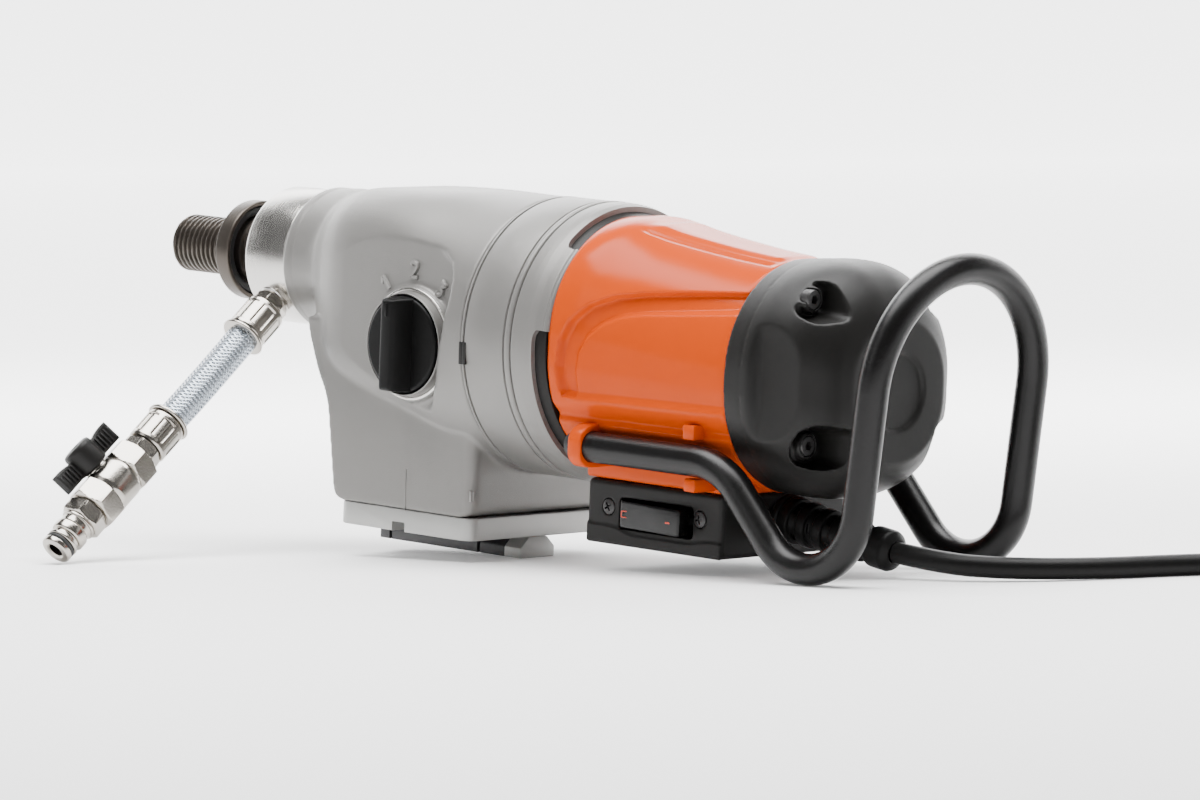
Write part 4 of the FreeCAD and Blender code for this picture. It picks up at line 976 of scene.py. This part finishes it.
pts = soft([(378.8, -48), (401, -50.6), (425.2, -54), (425.3, -45.6), (378.8, -42.6)], 1.3, True, 4)
levels = ((-113.9, 0.93), (-113.4, 0.985), (-112.7, 1), (-101.9, 1), (-101.2, 0.985), (-100.7, 0.93))
rings(bm, [[Vector((402 + (x - 402) * (0.7 + 0.3 * k), -48.4 + (y + 48.4) * k, z)) for x, y in pts]
           for z, k in levels])
lathe(bm, soft([(-113.4, 2.4), (-101.2, 2.4)], 0.1), basis((402, -42.5, 0), (0, 0, 1)), 24)
box_mesh(bm, (399.6, -46.6, -113.4), (404.4, -42.6, -101.2), 0.3)
put("switch_rocker_cap", bm, "rocker_plastic", "mains_switch", hide=("switch_rocker",), angle=40)
LOOK["red_mark"] = surface("red_mark", (0.62, 0.05, 0.02), 0.4, 0, 0.05, 1500, 0.05)
ROCK = atan2(6, 46.4)


def on_rocker(x, z):
    """Matrix on the rocker's sloping outer face."""
    y = -48 - (x - 378.8) * tan(ROCK)
    return on_side(x, z, 0, 1, y) @ Matrix.Rotation(ROCK, 4, "Z")


bm = bmesh.new()
frame_mark = [(-2.6, -1.5), (2.6, -1.5), (2.6, 1.5), (-2.6, 1.5), (-2.6, -1.5)]
for a, b in zip(frame_mark, frame_mark[1:]):
    stroke(bm, [a, b], on_rocker(383.5, -107.2), 0.55, 0.16)
stroke(bm, [(-2, 0), (2, 0)], on_rocker(417.5, -107.8), 0.8, 0.16)
put("rocker_marks", bm, "red_mark", "mains_switch", slot="rocker_plastic")


# ---- spindle with its thread, flange and water sleeve
SPINDLE = Matrix.Identity(4)
PITCH = 25.4 / 7
MAJOR_R = 15.875


def thread_shape(x, r, a):
    """Helical V thread on the nose, wrench flats behind the flange."""
    if r > 12 and x < 44:
        phase = ((x - 1.2) / PITCH - a / (2 * pi)) % 1
        groove = abs(phase - 0.5) * 2
        deep = 2.05 * ease(1 - max(0, (groove - 0.12) / 0.76))
        run_in = 15.6 - max(0, 2.8 - x) * 1.15
        run_out = MAJOR_R - max(0, x - 42.5) * 0.9
        return min(MAJOR_R - deep, run_in, run_out)
    if r > 16 and 62 < x < 80:
        return min(r, 17.5 / max(0.2, abs(sin(a))))
    return r


bm = bmesh.new()
nose = [(0, 7.4), (0, 12.3)] + [(x, 15.8) for x in spread(0.25, 44, 0.26)]
nose += [(44.1, 13.9), (44.6, 13.6), (46.6, 13.6), (47.2, 14), (47.3, 17.9), (60, 17.9), (60.4, 19.7),
         (61, 20), (61.9, 20), (62.1, 20), (79.9, 20), (80.1, 20), (150, 20), (150, 17), (216, 17),
         (216, 12), (232, 12), (232, 6), (1.6, 6)]
lathe(bm, nose, SPINDLE, 144, closed=True, shape=thread_shape)
put("spindle_nose", bm, "steel", "output_spindle", hide=("spindle",), angle=30)
flange = [(47.4, 18.1), (47.4, 24.2), (47.7, 24.9), (49.9, 27), (50.4, 27.1), (58.6, 27.1), (59.2, 26.7),
          (59.3, 25), (58.7, 24.6), (54, 24.4), (53.6, 23.6), (53.6, 18.1)]
turned("spindle_flange_ring", flange, SPINDLE, "steel", 144, 0.3, 2, body="output_spindle",
       hide=("spindle_flange",))
seal = [(53.7, 20.2), (53.7, 24.2), (56.4, 24.2), (57.2, 23.4), (57.2, 20.2)]
turned("flange_cup_seal", seal, SPINDLE, "seal_rubber", 96, 0.4, body="output_spindle")
sleeve = [(83.4, 24.1), (83.4, 33.9), (82.8, 34.5), (82.8, 35.7), (83.2, 36.2), (84.4, 36.35), (84.6, 36.8),
          (113.2, 36.85), (113.7, 36.4), (114.3, 36.3), (114.3, 24.1)]
sleeve_ring = round_solid(soft(sleeve, 0.25, True, 2), SPINDLE, 192, True)
cut(sleeve_ring, round_solid([(0, 7.3), (60, 7.3)], HOSE, 40))
deliver(sleeve_ring, "water_sleeve_ring", "turned_aluminium", hide=("water_sleeve",))
bm = bmesh.new()
mark = Matrix(((0, 1, 0, 104), (0, 0, 1, 0), (1, 0, 0, 36.86), (0, 0, 0, 1)))
for end in ((-1, 0.8), (-7.5, -1.4)):
    stroke(bm, [(-6, 0.8), end], mark, 0.4, 0.1)
put("sleeve_index_mark", bm, "black_screws", slot="turned_aluminium")
boss = [(26.8, 0.01), (26.8, 9), (36.2, 9.4), (37, 8.4), (37, 7.2)]
turned("inlet_boss", boss, HOSE, "turned_aluminium", 64, closed=False)

# ---- base plate and mounting rail
bm = bmesh.new()
plate_line = soft([(-52, 178), (52, 178), (52, BOX_END), (-52, BOX_END)], 7.5, True, 6)
plate_at = Matrix(((0, 0, 1, 0), (0, 1, 0, 0), (1, 0, 0, -133.1), (0, 0, 0, 1)))
prism(bm, plate_line, plate_at, 11.8, 0.7, 3)
plate = temp(bm)
cut(plate, cuboid((218.6, -60, -134), (228, -40, -128.1), 0.5))


def upright(profile, x, y):
    """A turned cutter standing on end."""
    return round_solid(profile, basis((x, y, 0), (0, 0, 1)), 40)


for x in (190, 262):
    for y in (-42, 42):
        cut(plate, upright([(-134, 6.9), (-133, 5.9), (-125.1, 5.8)], x, y))
deliver(plate, "base_plate_slab", "plate_metal", hide=("base_plate",))
# painted shade: the rail gets a darker copy of the plate metal, standing in for the shade under the plate
LOOK["rail_shaded_plate_metal"] = surface("rail_shaded_plate_metal", (0.045, 0.045, 0.047), 0.4, 0.7, 0.2, 1800, 0.08, wear=0.3)


rail_line = soft([(-12.5, -144.3), (12.5, -144.3), (12.5, -138.7), (6.8, -133.2), (-6.8, -133.2),
                  (-12.5, -138.7)], 0.7, True)


def rail_piece(x0, x1):
    """A length of the dovetail bar."""
    bm = bmesh.new()
    prism(bm, rail_line, move(x0, 0, 0), x1 - x0, 0.5)
    return temp(bm)


rail = rail_piece(170, 262.8)
for x in (177, 243):
    for side in (-13.5, 8.5):
        cut(rail, cuboid((x, side, -146), (x + 2, side + 5, -135.2)))
for x in (192, 222, 254):
    cut(rail, upright([(-146, 5.4), (-138.4, 5.3)], x, 0))
deliver(rail, "mounting_rail_bar", "rail_shaded_plate_metal", hide=("mounting_rail",), slot="plate_metal")
block_end = rail_piece(263, BOX_END)
deliver(block_end, "rail_end_block", "plate_metal")
bm = bmesh.new()
box_mesh(bm, (275, -52.35, -112), (276.6, -50.2, -106.5), 0.3)
box_mesh(bm, (227.6, -52.25, -121.3), (228.1, -51.6, -100), 0.1)
put("box_joint_nub", bm, "grey_housing")

# ---- handle: one bent tube
dive, lean = radians(47), radians(6)
LOOP_R, BEND_R = 33.5, 40
loop_x, loop_z = 517, -86
corner_x = loop_x - LOOP_R * sin(dive) - (HANDLE_Z - loop_z + LOOP_R * cos(dive)) / tan(dive)
bend_x = corner_x - BEND_R * tan(dive / 2)
path = [(358.7, HANDLE_Z)] + [(x, HANDLE_Z) for x in spread(362, bend_x, 6)]
path += [(bend_x + BEND_R * sin(a), HANDLE_Z - BEND_R * (1 - cos(a)))
         for a in spread(0.06, dive, 0.06)]
path += [(loop_x + LOOP_R * sin(a), loop_z - LOOP_R * cos(a))
         for a in [-dive + (pi / 2 - lean + dive) * i / 36 for i in range(37)]]
side_path = [Vector((x, -HANDLE_Y, z)) for x, z in path]
rise = Vector((sin(lean), 0, cos(lean)))
bar_start = side_path[-1].copy()
bar_top = bar_start + rise * ((31 - HANDLE_Y * cos(lean) - bar_start.z) / rise.z)
side_path += [bar_start.lerp(bar_top, t) for t in (0.25, 0.5, 0.75)]
side_path += [bar_top + Vector((0, HANDLE_Y * (1 - cos(a)), 0)) + rise * HANDLE_Y * sin(a)
              for a in spread(0, pi / 2, pi / 48)]
full = side_path + [Vector((p.x, -p.y, p.z)) for p in reversed(side_path[:-1])]


def sweep_tube(bm, points, radius, seg, ends=1.2):
    """Skin a round tube along points, with rounded ends."""
    last = len(points) - 1
    side = (points[1] - points[0]).normalized().orthogonal().normalized()
    nose = [(0, radius - ends), (ends * 0.3, radius - ends * 0.3), (ends, radius)]
    tail = [(-x, r) for x, r in reversed(nose)]
    circle = [(cos(2 * pi * k / seg), sin(2 * pi * k / seg)) for k in range(seg)]
    loops = []
    for i, p in enumerate(points):
        t = (points[min(last, i + 1)] - points[max(0, i - 1)]).normalized()
        side = (side - t * side.dot(t)).normalized()
        other = t.cross(side)
        for x, r in {0: nose, last: tail}.get(i, [(0, radius)]):
            loops.append([p + t * x + (side * c + other * s) * r for c, s in circle])
    rings(bm, loops)


bm = bmesh.new()
sweep_tube(bm, full, 8, 48)
put("handle_bail", bm, "black_tube", hide=("handle_tube",), angle=50)
bm = bmesh.new()
for side in (-HANDLE_Y, HANDLE_Y):
    at = move(0, side, HANDLE_Z)
    lathe(bm, soft([(354.6, 0.01), (354.6, 5.4), (355.2, 6.4), (358.6, 6.5)], 0.4), at, 40)
put("handle_plugs", bm, "seal_rubber", hide=("handle_end_plugs",))

# ---- ribbed cable boot and its collar
BOOT = basis(BOOT_START, BOOT_AXIS, (0, 0, 1))
boot = [(0.8, 5.6), (0.8, 12), (2.2, 12.6), (4.6, 12.6), (5.4, 11.2)]
for i in range(5):
    x, r = 6 + 11 * i, 12.2 - 0.5 * i
    root = r - 2
    boot += [(x, root), (x + 0.2, r - 0.3), (x + 0.8, r), (x + 5.4, r - 0.15), (x + 6, r - 0.5),
             (x + 6.2, root), (x + 10.6, root - 0.3)]
boot = [p for p in boot if p[0] < 61] + [(61.6, 8.6), (61.9, 8), (61.9, 5.6)]
ribbed = round_solid(soft(boot, 0.4, True, 2), BOOT, 80, True)
for i in range(4):
    for k in range(4):
        a = pi / 4 + k * pi / 2 + (i % 2) * pi / 4
        bm = bmesh.new()
        box_mesh(bm, (13.1 + 11 * i, -2.6, 8.6), (15.9 + 11 * i, 2.6, 15), 0.4)
        bm.transform(BOOT @ Matrix.Rotation(a, 4, "X"))
        cut(ribbed, temp(bm))
deliver(ribbed, "cable_boot_ribbed", "cable_rubber", hide=("cable_boot",), angle=30)
collar = [(62.1, 5.6), (62.1, 9.6), (62.7, 10.4), (64, 10.6), (72.8, 10.6), (74.4, 10), (76.2, 7.6),
          (76.8, 6.4), (76.9, 5.6)]
turned("cable_collar_ring", collar, BOOT, "cable_rubber", 72, 0.5, hide=("cable_collar",))


# ---- floor, light and the end
floor_mat, tree, floor_bsdf = new_material("pale_floor")
floor_bsdf.inputs["Base Color"].default_value = (0.9, 0.9, 0.9, 1)
floor_bsdf.inputs["Roughness"].default_value = 0.75
floor_bsdf.inputs["Emission Color"].default_value = (1, 1, 1, 1)
where = add(tree, "NewGeometry").outputs["Position"]
reach = add(tree, "VectorMath", {1: AWAY}, {0: where}, operation="DOT_PRODUCT").outputs["Value"]
glow = add(tree, "MapRange", {"From Min": 0.1, "From Max": 1.6, "To Min": 0.15, "To Max": 3.2},
           {"Value": reach}, interpolation_type="SMOOTHSTEP")
tree.links.new(glow.outputs["Result"], floor_bsdf.inputs["Emission Strength"])
bm = bmesh.new()
FLAT_END, CURVE_R, WALL_TOP = 14, 4, 16        # metres, well behind the tool
depth = [(-40, 0), (FLAT_END, 0)]
depth += [(FLAT_END + CURVE_R * sin(a), CURVE_R - CURVE_R * cos(a))
          for a in [pi * k / 48 for k in range(1, 25)]]
depth.append((FLAT_END + CURVE_R, WALL_TOP))
columns = [[bm.verts.new(AWAY * d + ACROSS * s + Vector((0, 0, h))) for d, h in depth] for s in (-40, 40)]
for i in range(len(depth) - 1):
    bm.faces.new((columns[0][i], columns[1][i], columns[1][i + 1], columns[0][i + 1]))
mesh = bpy.data.meshes.new("floor")
bm.to_mesh(mesh)
bm.free()
mesh.polygons.foreach_set("use_smooth", [True] * len(mesh.polygons))
floor = mesh_object("floor", mesh)
mesh.materials.append(floor_mat)

world = bpy.data.worlds.new("studio")
scene.world = world
world.use_nodes = True
sky = world.node_tree.nodes["Background"].inputs
sky["Color"].default_value = (1, 1, 1, 1)
sky["Strength"].default_value = 0.16


def softbox(name, away, across, height, aim, size, power):
    """A large area light aimed at a height over the origin."""
    data = bpy.data.lights.new(name, "AREA")
    data.shape = "RECTANGLE"
    data.size, data.size_y = size
    data.energy = power
    ob = bpy.data.objects.new(name, data)
    scene.collection.objects.link(ob)
    ob.location = AWAY * away + ACROSS * across + Vector((0, 0, height))
    ob.rotation_euler = (Vector((0, 0, aim)) - ob.location).to_track_quat("-Z", "Y").to_euler()


softbox("top_box", -0.1, 0, 1.9, 0.05, (2.4, 1.4), 150)
softbox("left_box", -1.2, -1.9, 1.1, 0.08, (1, 1.6), 10)
softbox("right_box", -0.9, 2, 0.9, 0.08, (0.8, 1.6), 5)
softbox("back_box", 1.9, 0, 1.4, 0.1, (3, 1), 40)
